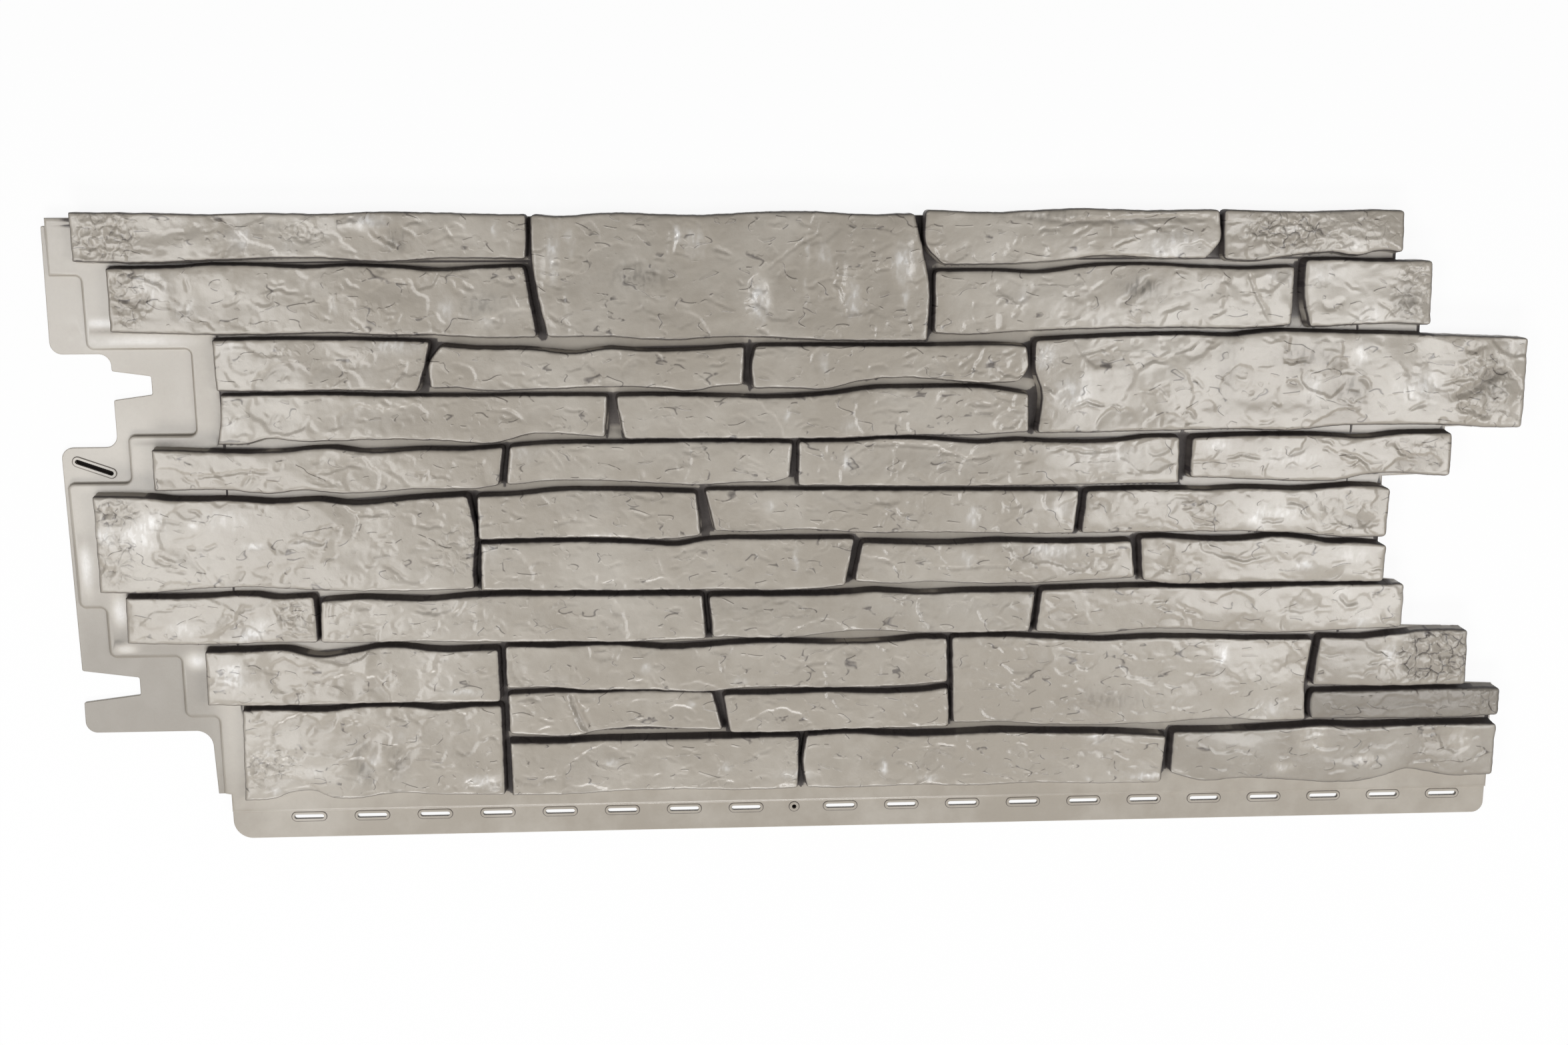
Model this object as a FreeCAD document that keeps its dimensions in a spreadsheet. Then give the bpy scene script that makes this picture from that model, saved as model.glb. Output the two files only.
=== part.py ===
import FreeCAD, Part
import math
import os

os.makedirs("parts", exist_ok=True)

doc = FreeCAD.newDocument("siding_panel")

# Driving sizes of the moulding, in millimetres and degrees
SIZES = {
    "sheet_thickness": 2.5,
    "wall_thickness": 2.5,
    "deck_level": 6.5,
    "lap_level": 3.0,
    "stone_corner_cut": 3.0,
    "deck_corner": 5.0,
    "flange_corner": 9.0,
    "flange_root_corner": 13.0,
    "notch_corner": 1.5,
    "strip_left_corner": 15.0,
    "strip_right_corner": 9.0,
    "rise_low": 8.5,
    "rise_shallow": 9.5,
    "rise_middle": 10.5,
    "rise_high": 11.75,
    "rise_proud": 13.0,
    "slot_length": 23.5,
    "slot_width": 3.6,
    "slot_pitch": 50.0,
    "slot_line": -229.6,
    "left_slot_start": -394.0,
    "left_slot_count": 8,
    "right_slot_start": 32.5,
    "right_slot_count": 11,
    "rim_margin": 2.2,
    "rim_height": 0.6,
    "pilot_bore": 3.6,
    "pilot_place": -5.0,
    "pilot_rim": 8.4,
    "side_slot_length": 30.0,
    "side_slot_angle": -20.0,
    "side_slot_across": -540.0,
    "side_slot_up": 55.0,
    "core_overrun": 1.0,
    "rib_thickness": 2.0,
    "rib_height": 4.5,
    "rib_pitch": 100.0,
    "rib_start": -400.0,
    "rib_count": 9,
    "rib_far_end": 205.0,
    "rib_near_end": -222.0,
    "lap_across": 434.0,
    "lap_up": 209.0,
}

sheet = doc.addObject("Spreadsheet::Sheet", "dims")
for number, name in enumerate(SIZES, start=1):
    sheet.set("A%d" % number, name)
    sheet.set("B%d" % number, str(SIZES[name]))
    sheet.setAlias("B%d" % number, name)
doc.recompute()


def vector(point):
    """A point of a sketch as a vector."""
    return FreeCAD.Vector(point[0], point[1], 0.0)


def rounded_outline(points, radii):
    """Straight sides between the points, with an arc of the given radius at each corner that has one."""
    ends = []
    arcs = []
    count = len(points)
    for index in range(count):
        before = vector(points[index - 1])
        here = vector(points[index])
        after = vector(points[(index + 1) % count])
        to_before = (before - here).normalize()
        to_after = (after - here).normalize()
        opening = to_before.getAngle(to_after)
        radius = radii[index]
        if radius == 0:
            ends.append((here, here))
            arcs.append(None)
            continue
        reach = radius / math.tan(opening / 2.0)
        start = here + to_before * reach
        finish = here + to_after * reach
        bisector = (to_before + to_after).normalize()
        middle = here + bisector * (radius / math.sin(opening / 2.0) - radius)
        ends.append((start, finish))
        arcs.append(Part.Arc(start, middle, finish))
    geometry = []
    for index in range(count):
        if arcs[index] is not None:
            geometry.append(arcs[index])
        leave = ends[index][1]
        arrive = ends[(index + 1) % count][0]
        geometry.append(Part.LineSegment(leave, arrive))
    return geometry


def straight_outline(points):
    """Straight sides between the points."""
    return rounded_outline(points, [0] * len(points))


def cut_corners(points, cut):
    """The outline with each corner that turns by more than 35 degrees cut off at the length given."""
    result = []
    count = len(points)
    for index in range(count):
        here = vector(points[index])
        back = here - vector(points[index - 1])
        ahead = vector(points[(index + 1) % count]) - here
        if math.degrees(back.getAngle(ahead)) > 35.0:
            start = here - back.normalize() * cut
            finish = here + ahead.normalize() * cut
            result.append((start.x, start.y))
            result.append((finish.x, finish.y))
        else:
            result.append(points[index])
    return result


def grown(points, distance):
    """The outline, given clockwise, moved outward by the distance with its corners kept."""
    result = []
    count = len(points)
    for index in range(count):
        here = vector(points[index])
        back = (here - vector(points[index - 1])).normalize()
        ahead = (vector(points[(index + 1) % count]) - here).normalize()
        out_back = FreeCAD.Vector(-back.y, back.x, 0.0)
        out_ahead = FreeCAD.Vector(-ahead.y, ahead.x, 0.0)
        bisector = (out_back + out_ahead).normalize()
        step = distance / bisector.dot(out_back)
        moved = here + bisector * step
        result.append((moved.x, moved.y))
    return result


def origin_part(body, role):
    """The plane or axis of the body's own origin that has the role."""
    return [feature for feature in body.Origin.OriginFeatures if feature.Role == role][0]


def new_sketch(body, name, level):
    """An empty sketch on the body's floor plane, lifted to the level given as an expression."""
    sketch = body.newObject("Sketcher::SketchObject", name)
    sketch.AttachmentSupport = [(origin_part(body, "XY_Plane"), "")]
    sketch.MapMode = "FlatFace"
    sketch.setExpression("AttachmentOffset.Base.z", level)
    return sketch


def new_feature(body, kind, name, sketch, length, taper, reverse=False):
    """A pad or pocket of the sketch, with its length and taper bound to the sheet."""
    feature = body.newObject(kind, name)
    feature.Profile = sketch
    feature.Refine = False
    feature.Reversed = reverse
    feature.setExpression("Length", length)
    if taper:
        feature.setExpression("TaperAngle", taper)
    doc.recompute()
    sketch.Visibility = False
    return feature


def row_of(body, feature, name, pitch, count):
    """Repeats a feature along the panel at a pitch, both bound to the sheet."""
    pattern = body.newObject("PartDesign::LinearPattern", name)
    pattern.Originals = [feature]
    pattern.Refine = False
    pattern.Direction = (origin_part(body, "X_Axis"), [""])
    pattern.setExpression("Length", "%s * (%s - 1)" % (pitch, count))
    pattern.setExpression("Occurrences", count)
    body.Tip = pattern
    doc.recompute()
    return pattern


def slot_outline(across, up, length, width, angle):
    """A slot with round ends, centred at the point and turned by the angle in degrees."""
    half = width / 2.0
    reach = length / 2.0 - half
    along = FreeCAD.Vector(math.cos(math.radians(angle)), math.sin(math.radians(angle)), 0.0)
    side = FreeCAD.Vector(-along.y, along.x, 0.0)
    centre = FreeCAD.Vector(across, up, 0.0)
    left = centre - along * reach
    right = centre + along * reach
    return [
        Part.LineSegment(left + side * half, right + side * half),
        Part.Arc(right + side * half, right + along * half, right - side * half),
        Part.LineSegment(right - side * half, left - side * half),
        Part.Arc(left - side * half, left - along * half, left + side * half),
    ]


face_form = doc.addObject("PartDesign::Body", "face_form")

# The thin sheet: left flange with its two notches and the nail strip along the low edge
flange_r = SIZES["flange_corner"]
notch_r = SIZES["notch_corner"]
sheet_points = [
    ((-565.0, 237.0), notch_r),
    ((-440.0, 237.0), 0),
    ((-440.0, -150.0), 0),
    ((568.0, -150.0), 0),
    ((568.0, -247.0), SIZES["strip_right_corner"]),
    ((-454.0, -247.0), SIZES["strip_left_corner"]),
    ((-454.0, -209.0), 0),
    ((-464.0, -209.0), 0),
    ((-466.0, -156.5), SIZES["flange_root_corner"]),
    ((-563.5, -156.5), flange_r),
    ((-563.0, -131.5), notch_r),
    ((-519.0, -126.0), notch_r),
    ((-519.0, -112.0), notch_r),
    ((-562.5, -106.0), notch_r),
    ((-564.0, 70.5), flange_r),
    ((-521.5, 70.5), flange_r),
    ((-521.5, 106.5), notch_r),
    ((-492.5, 110.5), notch_r),
    ((-492.5, 124.5), notch_r),
    ((-521.5, 128.5), notch_r),
    ((-521.5, 141.5), flange_r),
    ((-566.0, 141.5), flange_r),
]
sketch = new_sketch(face_form, "sheet_outline", "0 mm")
sketch.addGeometry(rounded_outline([p for p, r in sheet_points], [r for p, r in sheet_points]), False)
new_feature(face_form, "PartDesign::Pad", "sheet_pad", sketch, "dims.sheet_thickness", None)

# Nail slots in two rows with a round pilot hole between them, each in a raised rim
slot_line = SIZES["slot_line"]
length = SIZES["slot_length"]
width = SIZES["slot_width"]
margin = SIZES["rim_margin"]
rim_rise = "dims.rim_height"
for side in ["left", "right"]:
    across = SIZES["%s_slot_start" % side]
    sketch = new_sketch(face_form, "%s_rim_outline" % side, "dims.sheet_thickness")
    rim_length = length + 2.0 * margin
    rim_width = width + 2.0 * margin
    sketch.addGeometry(slot_outline(across, slot_line, rim_length, rim_width, 0.0), False)
    rim = new_feature(face_form, "PartDesign::Pad", "%s_rim" % side, sketch, rim_rise, None)
    row_of(face_form, rim, "%s_rims" % side, "dims.slot_pitch", "dims.%s_slot_count" % side)
    sketch = new_sketch(face_form, "%s_slot_outline" % side, "dims.sheet_thickness + dims.rim_height")
    sketch.addGeometry(slot_outline(across, slot_line, length, width, 0.0), False)
    slot = new_feature(face_form, "PartDesign::Pocket", "%s_slot" % side, sketch,
                       "dims.sheet_thickness + dims.rim_height", None)
    row_of(face_form, slot, "%s_slots" % side, "dims.slot_pitch", "dims.%s_slot_count" % side)

pilot_centre = FreeCAD.Vector(SIZES["pilot_place"], slot_line, 0.0)
upward = FreeCAD.Vector(0.0, 0.0, 1.0)
sketch = new_sketch(face_form, "pilot_rim_outline", "dims.sheet_thickness")
sketch.addGeometry(Part.Circle(pilot_centre, upward, SIZES["pilot_rim"] / 2.0), False)
new_feature(face_form, "PartDesign::Pad", "pilot_rim_pad", sketch, rim_rise, None)
sketch = new_sketch(face_form, "pilot_outline", "dims.sheet_thickness + dims.rim_height")
sketch.addGeometry(Part.Circle(pilot_centre, upward, SIZES["pilot_bore"] / 2.0), False)
new_feature(face_form, "PartDesign::Pocket", "pilot_hole", sketch, "dims.sheet_thickness + dims.rim_height", None)

# The slanted nail slot in the left flange
across = SIZES["side_slot_across"]
up = SIZES["side_slot_up"]
length = SIZES["side_slot_length"]
angle = SIZES["side_slot_angle"]
sketch = new_sketch(face_form, "side_rim_outline", "dims.sheet_thickness")
sketch.addGeometry(slot_outline(across, up, length + 2.0 * margin, width + 2.0 * margin, angle), False)
new_feature(face_form, "PartDesign::Pad", "side_rim", sketch, rim_rise, None)
sketch = new_sketch(face_form, "side_slot_outline", "dims.sheet_thickness + dims.rim_height")
sketch.addGeometry(slot_outline(across, up, length, width, angle), False)
new_feature(face_form, "PartDesign::Pocket", "side_slot", sketch, "dims.sheet_thickness + dims.rim_height", None)

# The raised deck that the stones stand on, stepped at its left and right
deck_points = [
    (-561.0, 236.0),
    (-561.0, 243.0),
    (462.0, 243.0),
    (462.0, 207.0),
    (485.0, 206.0),
    (485.0, 149.5),
    (564.0, 148.0),
    (564.0, 78.0),
    (511.0, 77.0),
    (511.0, 39.5),
    (463.0, 38.0),
    (463.0, -44.5),
    (479.0, -46.5),
    (479.0, -84.0),
    (535.0, -86.0),
    (535.0, -133.0),
    (565.5, -134.5),
    (565.5, -210.0),
    (567.5, -210.0),
    (567.5, -223.5),
    (-453.5, -223.5),
    (-453.5, -209.0),
    (-458.5, -208.0),
    (-458.5, -144.0),
    (-484.5, -144.0),
    (-484.5, -94.5),
    (-539.0, -94.5),
    (-539.0, -54.5),
    (-559.0, -54.5),
    (-560.0, 43.0),
    (-512.0, 43.0),
    (-512.0, 79.5),
    (-460.5, 79.5),
    (-460.5, 145.5),
    (-537.5, 145.5),
    (-537.5, 200.5),
    (-561.0, 200.5),
]
deck_radii = [0] * len(deck_points)
for index in range(23, 36):
    deck_radii[index] = SIZES["deck_corner"]
sketch = new_sketch(face_form, "deck_outline", "0 mm")
sketch.addGeometry(rounded_outline(deck_points, deck_radii), False)
new_feature(face_form, "PartDesign::Pad", "deck_pad", sketch, "dims.deck_level", None)

# The stones course by course: name, rise, upper edge and lower edge, both from left to right
STONES = [
    ("A1", "rise_shallow",
     [(-539.5, 247), (-480, 246), (-440, 245), (-400, 246), (-355, 245), (-320, 246.5), (-280, 246),
      (-230, 244.5), (-205, 244.5)],
     [(-539.5, 211), (-480, 210), (-430, 212), (-350, 212.5), (-315, 210), (-265, 212.5), (-206, 211.5)]),
    ("A2", "rise_high",
     [(-202, 244.5), (-180, 243), (-150, 245), (-70, 243.5), (-32, 245.5), (0, 246), (55, 243.5), (86, 244.5)],
     [(-202, 210), (-192, 153.5), (-137, 153), (-112, 151), (-45, 152.5), (20, 149.5), (97, 148.5),
      (97, 197), (93, 215)]),
    ("A3", "rise_middle",
     [(94, 247), (142, 245), (217, 247.5), (265, 246), (319, 246.5)],
     [(95, 220), (108, 206), (175, 207), (200, 209), (230, 212), (265, 210.5), (310, 209.5), (320, 222)]),
    ("A4", "rise_shallow",
     [(322.5, 246.5), (365, 245), (410, 245), (440, 246), (463, 245.5)],
     [(324, 209), (345, 207.5), (385, 212.5), (407, 214), (430, 211.5), (445, 215), (463.5, 213.5)]),
    ("B1", "rise_middle",
     [(-515.5, 206), (-462, 207), (-440, 208.5), (-405, 208), (-365, 206), (-340, 207.5), (-305, 206),
      (-270, 203.5), (-245, 205), (-208, 206.5)],
     [(-515.5, 159), (-460, 157), (-400, 156.5), (-355, 157.5), (-310, 155.5), (-280, 155.5), (-240, 153),
      (-199.5, 153)]),
    ("B2", "rise_shallow",
     [(102, 201.5), (155, 201), (180, 199.5), (227, 205), (277, 205), (302, 203.5), (345, 202), (380, 203.5)],
     [(102, 154), (130, 153), (167, 155), (240, 157), (297, 157), (350, 156.5), (379.5, 158.5)]),
    ("B3", "rise_high",
     [(387, 208.5), (415, 208.5), (440, 207.5), (486.5, 207.5)],
     [(387, 184), (393, 157), (425, 158.5), (460, 159.5), (488.5, 158)]),
    ("C1", "rise_shallow",
     [(-442, 152.5), (-405, 153), (-355, 152.5), (-305, 151.5), (-280, 150.5)],
     [(-441, 114), (-405, 113.5), (-355, 114), (-310, 113), (-291, 112.5), (-286, 127)]),
    ("C2", "rise_high",
     [(-272, 147.5), (-247, 145), (-210, 144.5), (-170, 141), (-145, 144.5), (-127, 143), (-62, 144),
      (-43, 145.5)],
     [(-281, 135), (-281, 115), (-262, 115.5), (-247, 113.5), (-195, 114), (-110, 114), (-87, 111.5),
      (-62, 115), (-44, 116)]),
    ("C3", "rise_middle",
     [(-35, 145.5), (5, 145.5), (105, 145), (142, 145.5), (174, 144)],
     [(-38, 130), (-37, 113), (-10, 113), (22, 112.5), (40, 117), (80, 120.5), (105, 119), (130, 116),
      (168, 116.5), (175, 126)]),
    ("C4", "rise_high",
     [(180, 148.5), (252, 151.5), (307, 152), (330, 151), (360, 154), (415, 153), (482, 151), (567, 147.5)],
     [(180, 127), (185.5, 109), (183, 76.5), (265, 77), (340, 78), (390, 77), (420, 80), (465, 80.5),
      (515, 79.5), (540, 77.5), (567, 77)]),
    ("D1", "rise_low",
     [(-439, 111), (-355, 111), (-305, 109.5), (-255, 109), (-195, 109), (-147.5, 108.5)],
     [(-440, 90), (-443, 73.5), (-422, 73.5), (-405, 77.5), (-385, 75.5), (-310, 76), (-280, 75),
      (-235, 72.5), (-205, 79.5), (-175, 78.5), (-150, 76)]),
    ("D2", "rise_middle",
     [(-141.5, 108.5), (-112, 108.5), (-55, 107), (-30, 106), (20, 108), (55, 112.5), (87, 113), (142, 112.5),
      (176, 107.5)],
     [(-136, 75), (-70, 74.5), (30, 74), (80, 75.5), (130, 75), (177, 77.5)]),
    ("E1", "rise_middle",
     [(-492, 70), (-467, 69), (-402, 67.5), (-355, 70), (-335, 67), (-285, 68.5), (-255, 68), (-227.5, 70)],
     [(-492, 38.5), (-440, 38.5), (-405, 35.5), (-380, 37.5), (-355, 35), (-292, 37.5), (-250, 37.5),
      (-232, 40)]),
    ("E2", "rise_shallow",
     [(-223.5, 70), (-195, 72), (-145, 72), (-70, 72.5), (-6, 71)],
     [(-227, 40), (-185, 43), (-145, 42), (-107, 39.5), (-82, 38), (-45, 40), (-20, 40), (-8.5, 43.5)]),
    ("E3", "rise_shallow",
     [(-2, 72), (30, 71.5), (67, 73.5), (92, 73), (142, 69.5), (167, 71), (195, 69.5), (250, 70),
      (265, 72), (296, 72.5)],
     [(-2.5, 37), (30, 36.5), (80, 35.5), (195, 35), (260, 35.5), (297, 35.5)]),
    ("E4", "rise_high",
     [(305, 72), (330, 73), (402, 73), (450, 71), (465, 73), (512, 74)],
     [(304.5, 40.5), (330, 39.5), (360, 38), (427, 37.5), (445, 41), (512, 39.5)]),
    ("F1", "rise_proud",
     [(-538, 35), (-500, 34), (-480, 32), (-430, 31), (-405, 29), (-367, 30), (-350, 27.5), (-292, 31),
      (-256, 33)],
     [(-538, -40), (-500, -40.5), (-480, -39), (-430, -37), (-375, -40), (-300, -42), (-253, -41),
      (-253.5, -30), (-251, 0)]),
    ("F2", "rise_middle",
     [(-249.5, 32), (-220, 32.5), (-190, 35.5), (-132, 35), (-81, 33)],
     [(-249.5, -2.5), (-155, -2), (-105, -4), (-77.5, -1)]),
    ("F3", "rise_low",
     [(-75, 34.5), (-5, 34), (80, 32.5), (130, 32), (218.5, 31)],
     [(-67, 1.5), (-35, 0.5), (-5, 2), (55, -1.5), (105, -1.5), (167, -3.5), (215, -4), (216, 5)]),
    ("F4", "rise_high",
     [(223.5, 31), (290, 31.5), (320, 30.5), (345, 31.5), (390, 30), (452, 32), (465.5, 30)],
     [(220, -3), (300, -3), (370, -4), (402, -6), (430, -9), (464.5, -9)]),
    ("G1", "rise_shallow",
     [(-248, -5.5), (-160, -5), (-120, -7), (-97, -8.5), (-75, -5), (-20, -4.5), (42, -5)],
     [(-249, -43), (-195, -44), (-70, -45), (17, -45), (35, -43)]),
    ("G2", "rise_high",
     [(47.5, -8), (117, -10), (155, -8.5), (195, -10), (240, -10), (260.5, -9.5)],
     [(41.5, -39.5), (75, -41.5), (105, -40.5), (130, -42), (180, -43), (227, -41), (264.5, -39.5)]),
    ("G3", "rise_high",
     [(267, -7), (290, -7), (310, -9), (352, -9.5), (370, -7.5), (402, -9.5), (420, -13), (440, -13),
      (465.5, -15.5)],
     [(270, -41.5), (285, -44), (352, -44.5), (464.5, -45.5)]),
    ("H1", "rise_middle",
     [(-520.5, -44.5), (-467, -45), (-422, -44), (-405, -46.5), (-377, -45.5)],
     [(-521.5, -81), (-460, -83), (-405, -82), (-375.5, -82.5)]),
    ("H2", "rise_high",
     [(-372, -49), (-342, -47.5), (-285, -49.5), (-257, -47), (-225, -46.5), (-145, -47.5), (-77, -48)],
     [(-374, -82.5), (-340, -83), (-295, -82.5), (-255, -84), (-195, -84.5), (-145, -85.5), (-74.5, -84)]),
    ("H3", "rise_high",
     [(-72.5, -49), (30, -49), (60, -47.5), (92, -50), (130, -49), (185.5, -49)],
     [(-70, -83), (0, -83.5), (30, -80), (55, -79), (80, -81), (125, -82.5), (181, -82)]),
    ("H4", "rise_middle",
     [(190, -48), (265, -47), (340, -48.5), (415, -47.5), (482.5, -47.5)],
     [(186, -82.5), (240, -85), (270, -82), (302, -82), (340, -85), (370, -86.5), (440, -85), (482.5, -83.5)]),
    ("I1", "rise_high",
     [(-462.5, -88), (-430, -88), (-398, -88), (-380, -93), (-347, -90), (-330, -86.5), (-280, -90.5),
      (-237, -89.5)],
     [(-463.5, -131.5), (-425, -132.5), (-330, -132), (-236.5, -132.5)]),
    ("I2", "rise_middle",
     [(-232, -87.5), (-195, -88.5), (-145, -87.5), (-108, -91), (-35, -87.5), (35, -89.5), (70, -88.5),
      (92, -86.5), (116, -86.5)],
     [(-232, -122.5), (-195, -122), (-170, -124.5), (-120, -125), (-75, -127.5), (-45, -125), (17, -126),
      (80, -125.5), (117, -123)]),
    ("I3", "rise_shallow",
     [(119.5, -86), (167, -86), (190, -87.5), (240, -90.5), (277, -89), (365, -91.5), (411, -92)],
     [(121.5, -157), (165, -157.5), (195, -160), (290, -160.5), (350, -158), (370, -160), (409, -160),
      (407, -129)]),
    ("I4", "rise_middle",
     [(416.5, -90.5), (452, -91.5), (475, -89), (515, -86), (537.5, -86.5)],
     [(412, -130.5), (452, -132), (538.5, -132.5)]),
    ("J1", "rise_middle",
     [(-437.5, -136), (-405, -136), (-372, -137.5), (-350, -135), (-310, -135), (-285, -138), (-262, -136),
      (-236, -135.5)],
     [(-440, -210.5), (-420, -210), (-402, -204.5), (-385, -204), (-374, -208.5), (-315, -207), (-280, -209),
      (-235.5, -210)]),
    ("J2", "rise_low",
     [(-231.5, -127), (-190, -126), (-162, -127), (-135, -126), (-70, -128)],
     [(-231, -160), (-195, -163), (-175, -162.5), (-165, -160), (-62, -160)]),
    ("J3", "rise_shallow",
     [(-62, -130), (-20, -130), (20, -129), (55, -130.5), (100, -129.5), (117.5, -127)],
     [(-57, -162), (-20, -162.5), (45, -161), (119, -160.5)]),
    ("J4", "rise_shallow",
     [(413, -136), (452, -136), (502, -135.5), (568, -135.5)],
     [(411.5, -150), (413.5, -159.5), (470, -160), (527, -160.5), (568, -159)]),
    ("K1", "rise_high",
     [(-230.5, -166), (-190, -167), (-170, -166), (-82, -165.5), (-15, -165), (-1.5, -165)],
     [(-230, -210), (-195, -210.5), (-132, -208), (-82, -208.5), (-45, -209.5), (-2.5, -209)]),
    ("K2", "rise_high",
     [(4, -164), (42, -163), (72, -165.5), (120, -166), (155, -164.5), (195, -166), (252, -167.5),
      (275, -169), (295, -170.5)],
     [(1, -182), (4, -208.5), (42, -209.5), (92, -208), (130, -209.5), (195, -208.5), (240, -210), (292, -210)]),
    ("K3", "rise_high",
     [(300, -167), (340, -167.5), (405, -165), (420, -164), (452, -165.5), (502, -165), (566.5, -165)],
     [(299, -202), (322, -209), (352, -208), (475, -208.5), (492, -203), (510, -205.5), (530, -209),
      (566.5, -209)]),
]


def stone_outline(upper, lower):
    """The face of one stone, clockwise from the left end of its upper edge."""
    return list(upper) + list(reversed(lower))


rises = ["rise_low", "rise_shallow", "rise_middle", "rise_high", "rise_proud"]
for rise in rises:
    outlines = [stone_outline(up, low) for name, kind, up, low in STONES if kind == rise]
    sketch = new_sketch(face_form, rise.replace("rise", "faces"), "dims.deck_level + dims.%s" % rise)
    for outline in outlines:
        sketch.addGeometry(straight_outline(cut_corners(outline, SIZES["stone_corner_cut"])), False)
    fall = "dims.deck_level + dims.%s - dims.lap_level" % rise
    new_feature(face_form, "PartDesign::Pad", rise.replace("rise", "stones"), sketch, fall, None, True)

# The hollow of the back: under the deck, under the lapping ends, and up inside each stone
core_form = doc.addObject("PartDesign::Body", "core_form")
wall = SIZES["wall_thickness"]
sketch = new_sketch(core_form, "deck_hollow_outline", "dims.deck_level - dims.wall_thickness")
sketch.addGeometry(straight_outline(grown(deck_points, -wall)), False)
new_feature(core_form, "PartDesign::Pad", "deck_hollow", sketch,
            "dims.deck_level - dims.wall_thickness + dims.core_overrun", None, True)

# The right ends and the upper course ride over the neighbouring panels' flange and nail strip
lap_across = SIZES["lap_across"]
lap_up = SIZES["lap_up"]
lap_points = [
    (-532.0, lap_up),
    (-532.0, 262.0),
    (580.0, 262.0),
    (580.0, -221.0),
    (lap_across, -221.0),
    (lap_across, lap_up),
]
sketch = new_sketch(core_form, "lap_outline", "dims.lap_level")
sketch.addGeometry(straight_outline(lap_points), False)
new_feature(core_form, "PartDesign::Pad", "lap_clearance", sketch, "dims.lap_level + dims.core_overrun", None, True)

for rise in rises:
    outlines = [stone_outline(up, low) for name, kind, up, low in STONES if kind == rise]
    ceiling = "dims.deck_level + dims.%s - dims.wall_thickness" % rise
    sketch = new_sketch(core_form, rise.replace("rise", "ceilings"), ceiling)
    for outline in outlines:
        sketch.addGeometry(straight_outline(grown(outline, -wall)), False)
    new_feature(core_form, "PartDesign::Pad", rise.replace("rise", "hollows"), sketch,
                ceiling + " + dims.core_overrun", None, True)

shell = doc.addObject("Part::Cut", "shell")
shell.Base = face_form
shell.Tool = core_form

# Low ribs across the back keep the panel flat and rest on the wall
rib_form = doc.addObject("PartDesign::Body", "rib_form")
half_rib = SIZES["rib_thickness"] / 2.0
rib_left = SIZES["rib_start"] - half_rib
rib_right = SIZES["rib_start"] + half_rib
rib_far = SIZES["rib_far_end"]
rib_near = SIZES["rib_near_end"]
rib_points = [(rib_left, rib_far), (rib_right, rib_far), (rib_right, rib_near), (rib_left, rib_near)]
sketch = new_sketch(rib_form, "rib_outline", "0 mm")
sketch.addGeometry(straight_outline(rib_points), False)
rib = new_feature(rib_form, "PartDesign::Pad", "rib", sketch, "dims.rib_height", None)
row_of(rib_form, rib, "ribs", "dims.rib_pitch", "dims.rib_count")

panel = doc.addObject("Part::Fuse", "siding_panel")
panel.Label = "siding_panel"
panel.Base = shell
panel.Tool = rib_form
doc.recompute()

# The panel is centred on the origin, with its back on the floor plane
box = panel.Shape.BoundBox
panel.Placement = FreeCAD.Placement(FreeCAD.Vector(-box.Center.x, -box.Center.y, -box.ZMin), FreeCAD.Rotation())
doc.recompute()

for item in doc.Objects:
    if "Invalid" in item.State or "Error" in item.State:
        raise RuntimeError("%s did not build" % item.Name)
if panel.Shape.isNull() or not panel.Shape.isValid():
    raise RuntimeError("the panel's shape is not valid")
print("solids", len(panel.Shape.Solids), "litres", panel.Shape.Volume / 1.0e6, panel.Shape.BoundBox)
panel.Shape.exportStep("parts/siding_panel.step")
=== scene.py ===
"""A stone-look siding panel: its relief face, deck, flange and nail strip, and the studio round it."""

import logging
import math
from dataclasses import dataclass, field
from enum import Enum
from typing import Iterator, Optional, Sequence

import bpy
import numpy as np
from mathutils import Matrix, Vector
from mathutils.geometry import delaunay_2d_cdt


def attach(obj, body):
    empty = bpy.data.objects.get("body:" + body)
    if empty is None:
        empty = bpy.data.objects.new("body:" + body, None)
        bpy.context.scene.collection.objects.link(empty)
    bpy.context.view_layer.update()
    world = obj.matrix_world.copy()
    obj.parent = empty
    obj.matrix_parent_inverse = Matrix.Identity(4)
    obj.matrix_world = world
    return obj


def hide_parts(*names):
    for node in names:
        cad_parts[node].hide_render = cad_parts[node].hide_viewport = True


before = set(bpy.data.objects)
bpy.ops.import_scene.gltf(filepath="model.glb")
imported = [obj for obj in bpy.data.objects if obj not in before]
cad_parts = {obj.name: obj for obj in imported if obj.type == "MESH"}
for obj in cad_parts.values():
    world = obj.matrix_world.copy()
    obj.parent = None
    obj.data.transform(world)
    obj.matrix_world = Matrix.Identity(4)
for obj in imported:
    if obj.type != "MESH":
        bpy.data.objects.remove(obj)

log = logging.getLogger("siding_panel")
Array = np.ndarray
Points = Sequence[tuple[float, float]]
Triple = tuple[float, float, float]
Colour = tuple[float, float, float, float]
Outlines = dict[str, list[Array]]

# The drawing's origin lies this far from the frame's origin, in millimetres
DRAWING_SHIFT = np.array([-1.0475, -0.25])
MM = 0.001

# A distance past every other, and the distance up to which a place counts as on a line, in millimetres
FAR = 99.0
ON_LINE = 0.02

# The number of entries in the shuffled tables behind the noises, a power of two
TABLE = 1024

# Levels above the wall, in millimetres
SHEET_TOP = 2.5
LAP_LEVEL = 3.0
RIM_TOP = 3.1
DECK_UNDERSIDE = 4.0
RIB_TOP = 4.5
DECK_TOP = 6.5
WALL = 2.5
HIGHEST = 19.9
DECK_LEVELS = np.array([0.0, SHEET_TOP, LAP_LEVEL, RIM_TOP, DECK_UNDERSIDE, RIB_TOP, DECK_TOP])


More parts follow.
